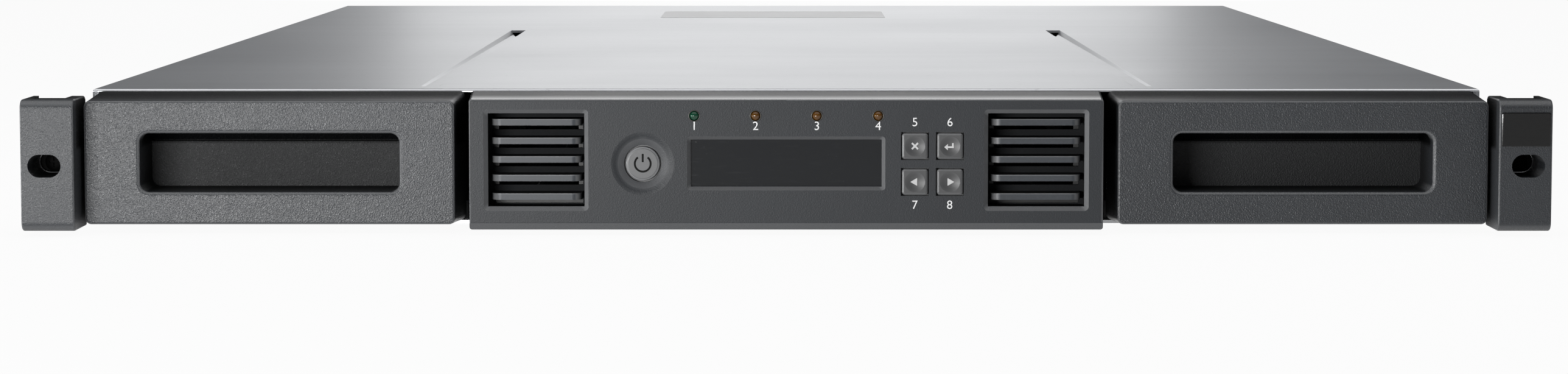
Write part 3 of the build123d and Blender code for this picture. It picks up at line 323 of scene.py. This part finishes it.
def satin_plastic(name, grey, roughness=0.42, tint=SLATE, edge_highlight=0.5):
    """Smooth moulded plastic with faint flow marks, dust and a painted highlight on its edges."""
    finish = Finish(name)
    flow = finish.noise(45, 4.0, (1, 1, 2.5))
    dust = finish.step(finish.noise(900, 2.0), 0.64, 0.76)
    edge = finish.rubbed_edges()
    colour = finish.blend(flow, shade(grey * 0.88, tint), shade(grey * 1.1, tint))
    colour = finish.blend(0.12 * dust, colour, shade(grey * 2.0 + 0.02, tint))
    # Painted highlight: bevels and rounds turn paler.
    colour = finish.blend(edge_highlight * edge, colour, shade(grey * 2.2 + 0.05, tint))
    return finish.surface(
        base_color=colour,
        roughness=roughness + 0.1 * flow - 0.05 - 0.12 * edge_highlight * edge,
        normal=finish.bump(finish.noise(700, 2.0), 0.03 * MM, 0.3),
    ).material


def louvre_plastic(name, node):
    """Black louvres whose front edges, crests and rounded ends carry a painted highlight, before a duct
    painted into dark shade.
    """
    low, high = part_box(node)
    front = low.y + LOUVRE_SETBACK
    bottom = low.z + DUCT_WALL
    pitch = (high.z - low.z - 2 * DUCT_WALL) / LOUVRE_COUNT
    finish = Finish(name, specular_ior_level=0.35)
    y, z = finish.split(finish.place)[1:]
    turn = finish.node("ShaderNodeMath", {"operation": "FRACT"}, {0: (z - bottom) * (1 / pitch)})
    away = finish.node("ShaderNodeMath", {"operation": "ABSOLUTE"}, {0: turn - 0.5})
    fin = 1 - finish.step(away, 0.18, 0.21)
    lit = fin * (1 - finish.step(y, front + 0.3 * MM, front + 3.5 * MM))
    crest_highlight = finish.step(turn, 0.62, 0.68)
    grain = finish.noise(1500, 2.0)
    edge = finish.rubbed_edges()
    colour = finish.blend(grain, shade(0.03, SLATE), shade(0.045, SLATE))
    # Painted highlight: a pale band along each fin's top edge, and paler rounded fin ends.
    colour = finish.blend(crest_highlight, colour, shade(0.2, COOL))
    colour = finish.blend(edge, colour, shade(0.12, COOL))
    # Painted shade: all but the fins' front edges is near black, standing in for the dark duct.
    colour = finish.blend(lit, shade(0.006, SLATE), colour)
    return finish.surface(
        base_color=colour,
        roughness=0.85 - 0.5 * lit - 0.1 * lit * edge + 0.1 * grain,
        normal=finish.bump(grain, 0.03 * MM, 0.3),
    ).material


def gloss_plastic(name, colour, roughness, level):
    """Polished plastic with a few dust specks and hairline scratches."""
    finish = Finish(name, specular_ior_level=level)
    hair = finish.step(finish.noise(160, 3.0, (1, 1, 9)), 0.58, 0.68)
    specks = finish.step(finish.noise(1300, 1.0), 0.72, 0.8)
    faded = tuple(part * 1.5 + 0.006 for part in colour[:3]) + (1.0,)
    return finish.surface(
        base_color=finish.blend(0.4 * specks + 0.15 * hair, colour, faded),
        roughness=roughness + 0.06 * hair + 0.2 * specks,
        normal=finish.bump(specks, 0.004 * MM, 0.3),
    ).material


def streaked_steel(name, grey, roughness=0.34, along=(1, 60, 60), streak=1.0):
    """Rolled sheet steel with fine streaks along one axis, smudges and tiny pits."""
    finish = Finish(name, metallic=1.0)
    fine = finish.noise(26, 6.0, along, 0.68)
    broad = finish.noise(5, 4.0, tuple(1 + (part - 1) * 0.12 for part in along))
    smudge = finish.noise(7, 5.0)
    pits = finish.step(finish.noise(420, 2.0), 0.67, 0.73)
    tone = 0.5 * fine + 0.3 * broad + 0.2 * smudge
    dark = shade(grey * (1 - 0.2 * streak), COOL)
    bright = shade(grey * (1 + 0.16 * streak), COOL)
    colour = finish.blend(tone, dark, bright)
    colour = finish.blend(0.25 * pits, colour, shade(grey * 0.55))
    return finish.surface(
        base_color=colour,
        roughness=roughness + 0.16 * streak * fine + 0.1 * smudge - 0.1,
        normal=finish.bump(fine, 0.02 * MM, 0.35 * streak),
    ).material


def turned_metal(name, grey, roughness=0.22, tint=NEUTRAL):
    """Machined or plated metal with faint tool lines and haze."""
    finish = Finish(name, metallic=1.0)
    lines = finish.noise(120, 3.0, (1, 14, 14))
    haze = finish.noise(30, 3.0)
    return finish.surface(
        base_color=finish.blend(lines, shade(grey * 0.85, tint), shade(grey * 1.08, tint)),
        roughness=roughness + 0.12 * haze,
        normal=finish.bump(lines, 0.01 * MM, 0.3),
    ).material


def coated_metal(name, grey):
    """Powder-coated metal with orange peel."""
    finish = Finish(name)
    peel = finish.noise(420, 3.0)
    cloud = finish.noise(24, 3.0)
    return finish.surface(
        base_color=finish.blend(cloud, shade(grey * 0.85), shade(grey * 1.2)),
        roughness=0.4 + 0.16 * peel,
        normal=finish.bump(peel, 0.06 * MM, 0.4),
    ).material


def ribbed_rubber(name):
    """Belt rubber with ribs across its run."""
    finish = Finish(name)
    inputs = {"Vector": finish.place, "Scale": 160.0, "Distortion": 0.0}
    ribs = finish.node("ShaderNodeTexWave", {"bands_direction": "Y"}, inputs, "Fac")
    fuzz = finish.noise(800, 2.0)
    return finish.surface(
        base_color=finish.blend(fuzz, shade(0.012), shade(0.03)),
        roughness=0.7 + 0.2 * fuzz,
        normal=finish.bump(ribs, 0.2 * MM, 0.6),
    ).material


def circuit_board(name):
    """Green solder mask over copper runs, with bright pads."""
    finish = Finish(name)
    inputs = {
        "Vector": finish.place, "Scale": 120.0, "Mortar Size": 0.03,
        "Color1": (0.012, 0.09, 0.04, 1), "Color2": (0.016, 0.12, 0.05, 1), "Mortar": (0.03, 0.2, 0.08, 1),
    }
    runs = finish.node("ShaderNodeTexBrick", {"offset": 0.37, "squash": 0.6}, inputs)
    pads = 1 - finish.step(finish.cells(240), 0.1, 0.14)
    return finish.surface(
        base_color=finish.blend(pads, runs, (0.7, 0.62, 0.4, 1)),
        roughness=0.42 - 0.12 * pads,
        metallic=0.8 * pads,
        normal=finish.bump(pads, 0.03 * MM, 0.5),
    ).material


def tinted_lens(name, colour):
    """Unlit lamp lens: deep colour with a lighter core."""
    finish = Finish(name)
    core = finish.noise(260, 2.0)
    light = tuple(part * 2.2 + 0.002 for part in colour[:3]) + (1.0,)
    return finish.surface(
        base_color=finish.blend(core, colour, light),
        roughness=0.1 + 0.1 * core,
        normal=finish.bump(core, 0.02 * MM, 0.3),
    ).material


def printed_ink(name, grey, level=0.5):
    """Screen-printed ink, slightly uneven."""
    finish = Finish(name, specular_ior_level=level)
    cover = finish.noise(1400, 2.0)
    return finish.surface(
        base_color=finish.blend(cover, shade(grey * 0.9), shade(grey * 1.04)),
        roughness=0.45 + 0.2 * cover,
        normal=finish.bump(cover, 0.01 * MM, 0.3),
    ).material


def label_film(name):
    """Satin label film with faint creases."""
    finish = Finish(name)
    crease = finish.noise(60, 5.0)
    return finish.surface(
        base_color=finish.blend(crease, shade(0.8), shade(0.86)),
        roughness=0.38 + 0.15 * crease,
        normal=finish.bump(crease, 0.03 * MM, 0.4),
    ).material


finishes = {
    "cover_steel": streaked_steel("cover_steel", 0.66, 0.36),
    "chassis_steel": streaked_steel("chassis_steel", 0.5, 0.4, (60, 1, 60)),
    "rear_steel": streaked_steel("rear_steel", 0.5, 0.38),
    "bracket_steel": streaked_steel("bracket_steel", 0.48, 0.4, (60, 1, 60)),
    "frame_steel": streaked_steel("frame_steel", 0.55, 0.36, (60, 1, 60)),
    "drive_steel": streaked_steel("drive_steel", 0.42, 0.34, (60, 1, 60)),
    "supply_steel": streaked_steel("supply_steel", 0.58, 0.3, (60, 60, 1)),
    "latch_steel": streaked_steel("latch_steel", 0.55, 0.32, (60, 1, 60)),
    "socket_steel": streaked_steel("socket_steel", 0.62, 0.26, (1, 20, 20), 0.6),
    "ear_plastic": grained_plastic("ear_plastic", 0.02, 0.9, 0.45, 0.4, "left_ear_cover"),
    "panel_plastic": grained_plastic("panel_plastic", 0.018, 0.35, 0.46, 0.8, "control_panel", 0.32, 0.24),
    "magazine_plastic": grained_plastic("magazine_plastic", 0.02, 1.0, 0.4, 0.6, "left_magazine_bezel"),
    "tray_plastic": satin_plastic("tray_plastic", 0.05, 0.5),
    "switch_plastic": satin_plastic("switch_plastic", 0.025, 0.4),
    "key_plastic": satin_plastic("key_plastic", 0.045, 0.45, COOL, 0.7),
    "button_plastic": satin_plastic("button_plastic", 0.08, 0.38, COOL, 0.9),
    "guide_plastic": satin_plastic("guide_plastic", 0.02, 0.5),
    "block_plastic": satin_plastic("block_plastic", 0.07, 0.45),
    "carriage_plastic": satin_plastic("carriage_plastic", 0.1, 0.48),
    "turntable_plastic": satin_plastic("turntable_plastic", 0.17, 0.45),
    "picker_plastic": satin_plastic("picker_plastic", 0.09, 0.42),
    "reader_plastic": satin_plastic("reader_plastic", 0.025, 0.35),
    "drive_plastic": satin_plastic("drive_plastic", 0.025, 0.4),
    "fan_plastic": satin_plastic("fan_plastic", 0.02, 0.45),
    "inlet_plastic": satin_plastic("inlet_plastic", 0.015, 0.35),
    "window_plastic": gloss_plastic("window_plastic", shade(0.009, SLATE), 0.12, 0.25),
    "display_glass": gloss_plastic("display_glass", shade(0.03, COOL), 0.2, 0.4),
    "board_green": circuit_board("board_green"),
    "lamp_green": tinted_lens("lamp_green", (0.0008, 0.024, 0.011, 1)),
    "lamp_amber": tinted_lens("lamp_amber", (0.045, 0.018, 0.0012, 1)),
    "rod_steel": turned_metal("rod_steel", 0.75, 0.12),
    "pulley_metal": turned_metal("pulley_metal", 0.68),
    "motor_metal": coated_metal("motor_metal", 0.035),
    "solenoid_metal": coated_metal("solenoid_metal", 0.2),
    "belt_rubber": ribbed_rubber("belt_rubber"),
    "louvre_plastic": louvre_plastic("louvre_plastic", "left_vent_grille"),
}
ink_white = printed_ink("ink_white", 0.72)
ink_grey = printed_ink("ink_grey", 0.5)
# Painted shade: a flat near-black mark standing in for the shade inside the engraved power symbol.
engraved_groove_shade = printed_ink("engraved_groove_shade", 0.008, 0.05)
plate_gloss = gloss_plastic("plate_gloss", shade(0.003), 0.16, 0.3)
label_pale = label_film("label_pale")
screw_zinc = turned_metal("screw_zinc", 0.55, 0.28)
# Painted shade: near black with almost no reflection, so the rack screws and washers leave the rack slots
# as dark holes; the washer finish also serves the inserts of the rear sockets.
rack_screw_slot_shade = printed_ink("rack_screw_slot_shade", 0.002, 0.03)
rubber_and_slot_shade = printed_ink("rubber_and_slot_shade", 0.003, 0.05)
contact_gold = turned_metal("contact_gold", 0.8, 0.2, GOLD)
ring_metal = turned_metal("ring_metal", 0.08, 0.4, WARM)
# Painted shade: a near-black coat for the panel bracket, seen through the vents, so the vents read dark.
vent_shade_coat = coated_metal("vent_shade_coat", 0.006)

# The panel bracket takes the near-black painted-shade coat instead of its slot's finish.
for node, piece in nodes.items():
    for place in piece.material_slots:
        place.material = vent_shade_coat if node == "panel_bracket" else finishes[slot_of[node]]


# Modelling helpers

FACE_UP = (0, 0, 0)
FACE_FRONT = (math.radians(90), 0, 0)
FACE_BACK = (math.radians(90), 0, math.radians(180))
FACE_RIGHT = (0, math.radians(90), 0)
FACE_LEFT = (0, math.radians(-90), 0)


def alone(piece):
    """Makes a piece the only one selected."""
    bpy.ops.object.select_all(action="DESELECT")
    piece.select_set(True)
    bpy.context.view_layer.objects.active = piece


def start(kind, name, stretch=(1, 1, 1), **sizes):
    """A new primitive, alone in the selection, with its place and size in its mesh."""
    bpy.ops.object.select_all(action="DESELECT")
    getattr(bpy.ops.mesh, f"primitive_{kind}_add")(**sizes)
    piece = bpy.context.object
    piece.name = name
    piece.scale = stretch
    bpy.ops.object.transform_apply(location=True, rotation=True, scale=True)
    return piece


def modify(piece, kind, **settings):
    """Adds a modifier and applies it."""
    alone(piece)
    modifier = piece.modifiers.new(kind.title(), kind)
    for name, setting in settings.items():
        setattr(modifier, name, setting)
    bpy.ops.object.modifier_apply(modifier=modifier.name)


def pick_faces(piece, wanted):
    """Enters edit mode with the faces chosen by centre and normal."""
    alone(piece)
    bpy.ops.object.mode_set(mode="EDIT")
    bpy.ops.mesh.select_mode(type="FACE")
    bpy.ops.mesh.select_all(action="DESELECT")
    bpy.ops.object.mode_set(mode="OBJECT")
    for face in piece.data.polygons:
        face.select = wanted(face.center, face.normal)
    bpy.ops.object.mode_set(mode="EDIT")


def pick_uprights(piece):
    """Enters edit mode with the edges along Z chosen."""
    alone(piece)
    bpy.ops.object.mode_set(mode="EDIT")
    bpy.ops.mesh.select_mode(type="EDGE")
    bpy.ops.mesh.select_all(action="DESELECT")
    bpy.ops.object.mode_set(mode="OBJECT")
    for edge in piece.data.edges:
        a, b = [piece.data.vertices[k].co for k in edge.vertices]
        edge.select = (a - b).xy.length < abs(a.z - b.z) * 0.1
    bpy.ops.object.mode_set(mode="EDIT")


def close_edit():
    """Merges doubles, turns the faces outwards and leaves edit mode."""
    bpy.ops.mesh.select_all(action="SELECT")
    bpy.ops.mesh.remove_doubles(threshold=1e-6)
    bpy.ops.mesh.normals_make_consistent(inside=False)
    bpy.ops.object.mode_set(mode="OBJECT")


def pull(way, distance, widen=None):
    """Extrudes the picked faces along a way, then widens or narrows them about their middle."""
    bpy.ops.mesh.extrude_region_move(TRANSFORM_OT_translate={"value": Vector(way) * distance})
    if widen:
        piece = bpy.context.object
        bpy.ops.object.mode_set(mode="OBJECT")
        picked = [face.center.copy() for face in piece.data.polygons if face.select]
        middle = sum(picked, Vector()) / len(picked)
        bpy.ops.object.mode_set(mode="EDIT")
        bpy.ops.transform.resize(value=widen, center_override=middle)


def join(first, *others):
    """Makes several pieces one."""
    alone(first)
    for piece in others:
        piece.select_set(True)
    bpy.ops.object.join()
    return first


def settle(piece, place, turn, body, material):
    """Puts a flat-built piece in its place on a body and gives it its finish."""
    piece.location = place
    piece.rotation_euler = turn
    alone(piece)
    bpy.ops.object.transform_apply(location=True, rotation=True, scale=True)
    piece.data.materials.clear()
    piece.data.materials.append(material)
    bpy.ops.object.shade_smooth_by_angle(angle=math.radians(SMOOTH_ANGLE))
    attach(piece, body)
    return piece


def copy_of(piece, name):
    """A copy with its own mesh."""
    alone(piece)
    bpy.ops.object.duplicate(linked=False)
    bpy.context.object.name = name
    return bpy.context.object


def repeats(first, stem, count):
    """The first piece and its numbered copies."""
    return [first] + [copy_of(first, f"{stem}_{number}") for number in range(2, count + 1)]


def middle_of(node):
    """The middle of a solid's box."""
    low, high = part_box(node)
    return (low + high) / 2


# Flat shapes, built lying down with their face up

def rounded_plate(name, size, thickness, corner):
    """A plate with round corners and a softened face."""
    piece = start("cube", name, size=1, stretch=(*size, thickness))
    pick_uprights(piece)
    bpy.ops.mesh.bevel(offset=corner, segments=6, affect="EDGES")
    close_edit()
    pick_faces(piece, lambda centre, normal: normal.z > 0.9)
    bpy.ops.mesh.inset(thickness=thickness * 0.5)
    bpy.ops.transform.translate(value=(0, 0, thickness * 0.25))
    close_edit()
    return piece


def cross_shape(name, arm, stroke, thickness):
    """Four arms pulled out of a small block."""
    piece = start("cube", name, size=1, stretch=(stroke, stroke, thickness))
    for way in (Vector((1, 0, 0)), Vector((-1, 0, 0)), Vector((0, 1, 0)), Vector((0, -1, 0))):
        root = way * stroke / 2
        pick_faces(piece, lambda centre, normal: (centre - root).length < stroke * 0.1)
        pull(way, arm - stroke / 2)
        bpy.ops.object.mode_set(mode="OBJECT")
    return piece


def return_arrow(name):
    """A bar that drops and runs left into an arrow head."""
    stroke = KEY_MARK_STROKE
    corner = Vector(((ARROW_RUN + ARROW_HEAD - stroke) / 2, -ARROW_RISE / 3, 0))
    piece = start("cube", name, size=1, location=corner, stretch=(stroke, stroke, KEY_MARK_THICKNESS))
    pick_faces(piece, lambda centre, normal: normal.y > 0.9)
    pull((0, 1, 0), ARROW_RISE)
    bpy.ops.object.mode_set(mode="OBJECT")
    pick_faces(piece, lambda centre, normal: normal.x < -0.9 and abs(centre.y - corner.y) < stroke / 4)
    pull((-1, 0, 0), ARROW_RUN)
    pull((-1, 0, 0), stroke * 0.02, (1, 3.6, 1))
    pull((-1, 0, 0), ARROW_HEAD, (1, 0.04, 1))
    close_edit()
    return piece


def triangle(name, turn):
    """A solid triangle with softened points; at no turn it points up."""
    piece = start("cylinder", name, vertices=3, radius=TRIANGLE_RADIUS, depth=KEY_MARK_THICKNESS,
                  rotation=(0, 0, math.radians(turn)))
    pick_uprights(piece)
    bpy.ops.mesh.bevel(offset=TRIANGLE_RADIUS * 0.12, segments=3, affect="EDGES")
    close_edit()
    return piece


def power_sign(name):
    """A ring with a gap at the top and a bar in the gap."""
    begin = math.radians(90 - POWER_GAP / 2)
    ring = start(
        "plane", name, size=1, stretch=(POWER_STROKE, MARK_THICKNESS, 1),
        location=(POWER_RING * math.cos(begin), POWER_RING * math.sin(begin), 0),
        rotation=(math.radians(90), 0, begin))
    bpy.ops.object.mode_set(mode="EDIT")
    bpy.ops.mesh.select_all(action="SELECT")
    bpy.ops.mesh.spin(steps=40, angle=math.radians(360 - POWER_GAP), center=(0, 0, 0), axis=(0, 0, 1))
    close_edit()
    bar = start(
        "cube", "power_bar", size=1, location=(0, POWER_RING * 0.72, 0),
        stretch=(POWER_STROKE, POWER_RING * 1.05, MARK_THICKNESS))
    pick_uprights(bar)
    bpy.ops.mesh.bevel(offset=POWER_STROKE * 0.2, segments=2, affect="EDGES")
    close_edit()
    return join(ring, bar)


def bead_ring(name, radius, bead):
    """A ring of a low round bead."""
    piece = start(
        "circle", name, vertices=10, radius=bead, fill_type="NOTHING", location=(radius, 0, 0),
        rotation=(math.radians(90), 0, 0))
    bpy.ops.object.mode_set(mode="EDIT")
    bpy.ops.mesh.select_all(action="SELECT")
    bpy.ops.mesh.spin(steps=32, angle=math.radians(360), center=(0, 0, 0), axis=(0, 0, 1))
    close_edit()
    return piece


def cross_head(name, radius, rise):
    """A domed screw head with a cross recess, standing on its seat."""
    head = start("cylinder", name, vertices=28, radius=radius, depth=rise, location=(0, 0, rise / 2))
    pick_faces(head, lambda centre, normal: normal.z > 0.9)
    bpy.ops.mesh.inset(thickness=radius * 0.3)
    bpy.ops.transform.translate(value=(0, 0, rise * 0.25))
    bpy.ops.mesh.inset(thickness=radius * 0.3)
    bpy.ops.transform.translate(value=(0, 0, rise * 0.08))
    close_edit()
    modify(head, "BEVEL", width=rise * 0.18, segments=2, limit_method="ANGLE", angle_limit=math.radians(40))
    cutter = cross_shape("recess_cutter", radius * 0.55, radius * 0.24, rise)
    cutter.location.z = rise * 1.2
    modify(head, "BOOLEAN", operation="DIFFERENCE", object=cutter, solver="EXACT")
    bpy.data.objects.remove(cutter)
    return head


def numeral(name, words):
    """A printed number as a thin mesh."""
    bpy.ops.object.select_all(action="DESELECT")
    bpy.ops.object.text_add()
    mark = bpy.context.object
    mark.name = name
    mark.data.body = words
    mark.data.align_x = "CENTER"
    mark.data.align_y = "CENTER"
    mark.data.size = NUMERAL_HEIGHT / NUMERAL_SHARE
    mark.data.extrude = MARK_THICKNESS / 2
    bpy.ops.object.convert(target="MESH")
    mark = bpy.context.object
    alone(mark)
    bpy.ops.object.mode_set(mode="EDIT")
    close_edit()
    return mark


# Marks on the panel, keys and power button

panel_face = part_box("control_panel")[0].y
lamp_rings = repeats(bead_ring("lamp_ring_1", LAMP_RING, LAMP_RING_BEAD), "lamp_ring", LAMP_COUNT)
for number, ring in enumerate(lamp_rings, 1):
    lamp = middle_of(f"status_lamp_{number}")
    settle(ring, (lamp.x, panel_face, lamp.z), FACE_FRONT, "chassis", ring_metal)
    settle(
        numeral(f"lamp_numeral_{number}", str(number)),
        (lamp.x, panel_face, lamp.z - NUMERAL_DROP), FACE_FRONT, "chassis", ink_white)

# Each key's mark, its turn, and whether its numeral stands above (1) or below (-1)
cross = cross_shape("cancel_mark", CROSS_ARM, KEY_MARK_STROKE, KEY_MARK_THICKNESS)
key_marks = {
    "cancel_key": (cross, math.radians(45), 1),
    "enter_key": (return_arrow("enter_mark"), 0, 1),
    "previous_key": (triangle("previous_mark", 90), 0, -1),
    "next_key": (triangle("next_mark", -90), 0, -1),
}
for number, (key, (mark, spin, side)) in enumerate(key_marks.items(), LAMP_COUNT + 1):
    centre = middle_of(key)
    mark_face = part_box(key)[0].y + KEY_DIMPLE_DEPTH - KEY_MARK_LIFT
    alone(mark)
    mark.rotation_euler.z = spin
    bpy.ops.object.transform_apply(location=True, rotation=True, scale=True)
    settle(mark, (centre.x, mark_face, centre.z), FACE_FRONT, key, ink_grey)
    settle(
        numeral(f"key_numeral_{number}", str(number)),
        (centre.x, panel_face, centre.z + side * KEY_NUMERAL_GAP), FACE_FRONT, "chassis", ink_white)

button = middle_of("power_button")
button_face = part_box("power_button")[0].y
# The power symbol as a flat mark of painted shade on the button.
settle(
    power_sign("power_mark"), (button.x, button_face, button.z), FACE_FRONT, "power_button", engraved_groove_shade)


# Plates, label and rack screws

ear_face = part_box("right_ear_cover")[0].y
settle(
    rounded_plate("right_ear_plate", EAR_PLATE, EAR_PLATE_THICKNESS, EAR_PLATE_CORNER),
    (middle_of("right_ear_cover").x, ear_face - EAR_PLATE_THICKNESS * 0.3, EAR_PLATE_LEVEL),
    FACE_FRONT, "chassis", plate_gloss)
cover_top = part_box("top_cover")[1].z
settle(
    rounded_plate("cover_label", COVER_LABEL, LABEL_THICKNESS, COVER_LABEL_CORNER),
    (*COVER_LABEL_CENTRE, cover_top + LABEL_THICKNESS * 0.4), FACE_UP, "chassis", label_pale)

tab_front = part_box("left_rack_bracket")[0].y
rack_head = cross_head("left_rack_screw", RACK_SCREW, RACK_SCREW_RISE)
rack_heads = {"left": rack_head, "right": copy_of(rack_head, "right_rack_screw")}
for word, sign in (("left", -1), ("right", 1)):
    washer = rounded_plate(f"{word}_rack_washer", RACK_WASHER, WASHER_THICKNESS, WASHER_CORNER)
    x = sign * RACK_SLOT[0]
    # Near-black washer and screw: painted shade in the rack slot.
    settle(
        washer, (x, tab_front - WASHER_THICKNESS * 0.6, RACK_SLOT[1]), FACE_FRONT, "chassis", rubber_and_slot_shade)
    settle(
        rack_heads[word], (x, tab_front - WASHER_THICKNESS * 1.3, RACK_SLOT[1]), FACE_FRONT, "chassis",
        rack_screw_slot_shade)


# Case screws

cover_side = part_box("top_cover")[1].x
bracket_side = cover_side + BRACKET_SHEET * MM
rear_in, rear_out = [corner.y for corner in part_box("rear_panel")]
board_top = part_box("controller_board")[1].z
fan = middle_of("fan_frame")
screw_places = []
for y in COVER_SCREWS_Y:
    screw_places.append(((-cover_side, y * MM, COVER_SCREWS_Z * MM), FACE_LEFT))
    screw_places.append(((cover_side, y * MM, COVER_SCREWS_Z * MM), FACE_RIGHT))
for y in BRACKET_SCREWS_Y:
    for z in BRACKET_SCREWS_Z:
        screw_places.append(((-bracket_side, y * MM, z * MM), FACE_LEFT))
        screw_places.append(((bracket_side, y * MM, z * MM), FACE_RIGHT))
for x, z in REAR_EDGE_SCREWS:
    screw_places.append(((x * MM, rear_out, z * MM), FACE_BACK))
for x in FAN_SCREW_REACH:
    for z in FAN_SCREW_REACH:
        screw_places.append(((fan.x + x * MM, rear_out, fan.z + z * MM), FACE_BACK))
for x, z in REAR_MODULE_SCREWS:
    screw_places.append(((x * MM, rear_in, z * MM), FACE_BACK))
for x in BOARD_SCREWS_X:
    for y in BOARD_SCREWS_Y:
        screw_places.append(((x * MM, y * MM, board_top), FACE_UP))
first_screw = cross_head("case_screw_1", CASE_SCREW, CASE_SCREW_RISE)
for screw, (place, turn) in zip(repeats(first_screw, "case_screw", len(screw_places)), screw_places):
    settle(screw, place, turn, "chassis", screw_zinc)


# Contacts and inserts in the rear sockets

def jack_contact(name):
    """A spring wire that runs forward and bends down, lying along Y."""
    piece = start("cube", name, size=1, stretch=JACK_CONTACT_ROOT)
    pick_faces(piece, lambda centre, normal: normal.y > 0.9)
    pull((0, 1, -0.1), JACK_CONTACT_RUN)
    pull((0, 0.8, -0.35), JACK_CONTACT_DROP)
    close_edit()
    return piece


def data_insert(name):
    """A plate that closes a data socket, with a tongue standing out of it."""
    piece = rounded_plate(name, DATA_INSERT, INSERT_THICKNESS, DATA_INSERT_CORNER)
    pick_faces(piece, lambda centre, normal: normal.z > 0.95 and abs(centre.x) < 1 * MM)
    bpy.ops.mesh.inset(thickness=DATA_TONGUE_INSET)
    pull((0, 0, 1), DATA_TONGUE_LENGTH, (0.98, 0.8, 1))
    close_edit()
    return piece


jack = middle_of("network_jack")
jack_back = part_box("network_jack")[1].y
settle(
    rounded_plate("jack_insert", JACK_INSERT, INSERT_THICKNESS, JACK_INSERT_CORNER),
    (jack.x, jack_back - JACK_INSERT_DEPTH, jack.z), FACE_BACK, "chassis", rubber_and_slot_shade)
contacts = repeats(jack_contact("jack_contact_1"), "jack_contact", JACK_CONTACTS)
for k, contact in enumerate(contacts):
    x = jack.x + (k - (JACK_CONTACTS - 1) / 2) * JACK_CONTACT_PITCH
    place = (x, jack_back - JACK_CONTACT_DEPTH, jack.z + JACK_CONTACT_RISE)
    settle(contact, place, FACE_UP, "chassis", contact_gold)
for word, sign, lens in (("green", -1, "lamp_green"), ("amber", 1, "lamp_amber")):
    settle(
        rounded_plate(f"jack_light_{word}", JACK_LIGHT, JACK_LIGHT_THICKNESS, JACK_LIGHT_CORNER),
        (jack.x + sign * JACK_LIGHT_X, jack_back + JACK_LIGHT_LIFT, jack.z + JACK_LIGHT_Z),
        FACE_BACK, "chassis", finishes[lens])

socket_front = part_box("sas_sockets")[0].y
socket_level = middle_of("sas_sockets").z
for number, sign in ((1, -1), (2, 1)):
    settle(
        data_insert(f"data_insert_{number}"),
        (sign * DATA_SOCKET_X, socket_front + DATA_INSERT_DEPTH, socket_level), FACE_BACK, "chassis",
        rubber_and_slot_shade)


# Studio

def pale_floor():
    """White to the camera and in reflections, with the object's soft shadow kept."""
    finish = Finish("pale_floor", base_color=shade(FLOOR_GREY), roughness=0.9)
    camera, glossy, through = finish.node(
        "ShaderNodeLightPath", output=("Is Camera Ray", "Is Glossy Ray", "Is Transmission Ray"))
    glow = finish.node("ShaderNodeEmission")
    plain = Value(finish, finish.shader.outputs[0])
    seen = FLOOR_WHITENESS * (camera + glossy + through)
    mixed = finish.node("ShaderNodeMixShader", {}, {0: seen, 1: plain, 2: glow})
    finish.feed(finish.tree.nodes["Material Output"].inputs["Surface"], mixed)
    return finish.material


floor = start("plane", "floor", size=FLOOR_SIZE, location=(0, 0, -FLOOR_DROP))
floor.data.materials.append(pale_floor())


def area_light(name, power, size, place, target):
    """A rectangular lamp turned to a point."""
    lamp = bpy.data.lights.new(name, "AREA")
    lamp.shape = "RECTANGLE"
    lamp.size, lamp.size_y = size
    lamp.energy = power
    holder = bpy.data.objects.new(name, lamp)
    bpy.context.scene.collection.objects.link(holder)
    holder.location = place
    holder.rotation_euler = (Vector(target) - Vector(place)).to_track_quat("-Z", "Y").to_euler()


for name, settings in LAMPS.items():
    area_light(name, *settings)

world = bpy.data.worlds.new("studio")
bpy.context.scene.world = world
world.use_nodes = True
backdrop = world.node_tree.nodes["Background"]
backdrop.inputs["Color"].default_value = AMBIENT_COLOUR
backdrop.inputs["Strength"].default_value = AMBIENT_STRENGTH

camera = bpy.data.cameras.new("camera")
camera.lens = CAMERA_LENS
camera.sensor_width = CAMERA_SENSOR
camera.clip_start = CAMERA_CLIP
holder = bpy.data.objects.new("camera", camera)
bpy.context.scene.collection.objects.link(holder)
holder.location = CAMERA_PLACE
holder.rotation_euler = (math.radians(90 - CAMERA_TILT), 0, 0)
bpy.context.scene.camera = holder
bpy.context.scene.view_settings.view_transform = "Standard"
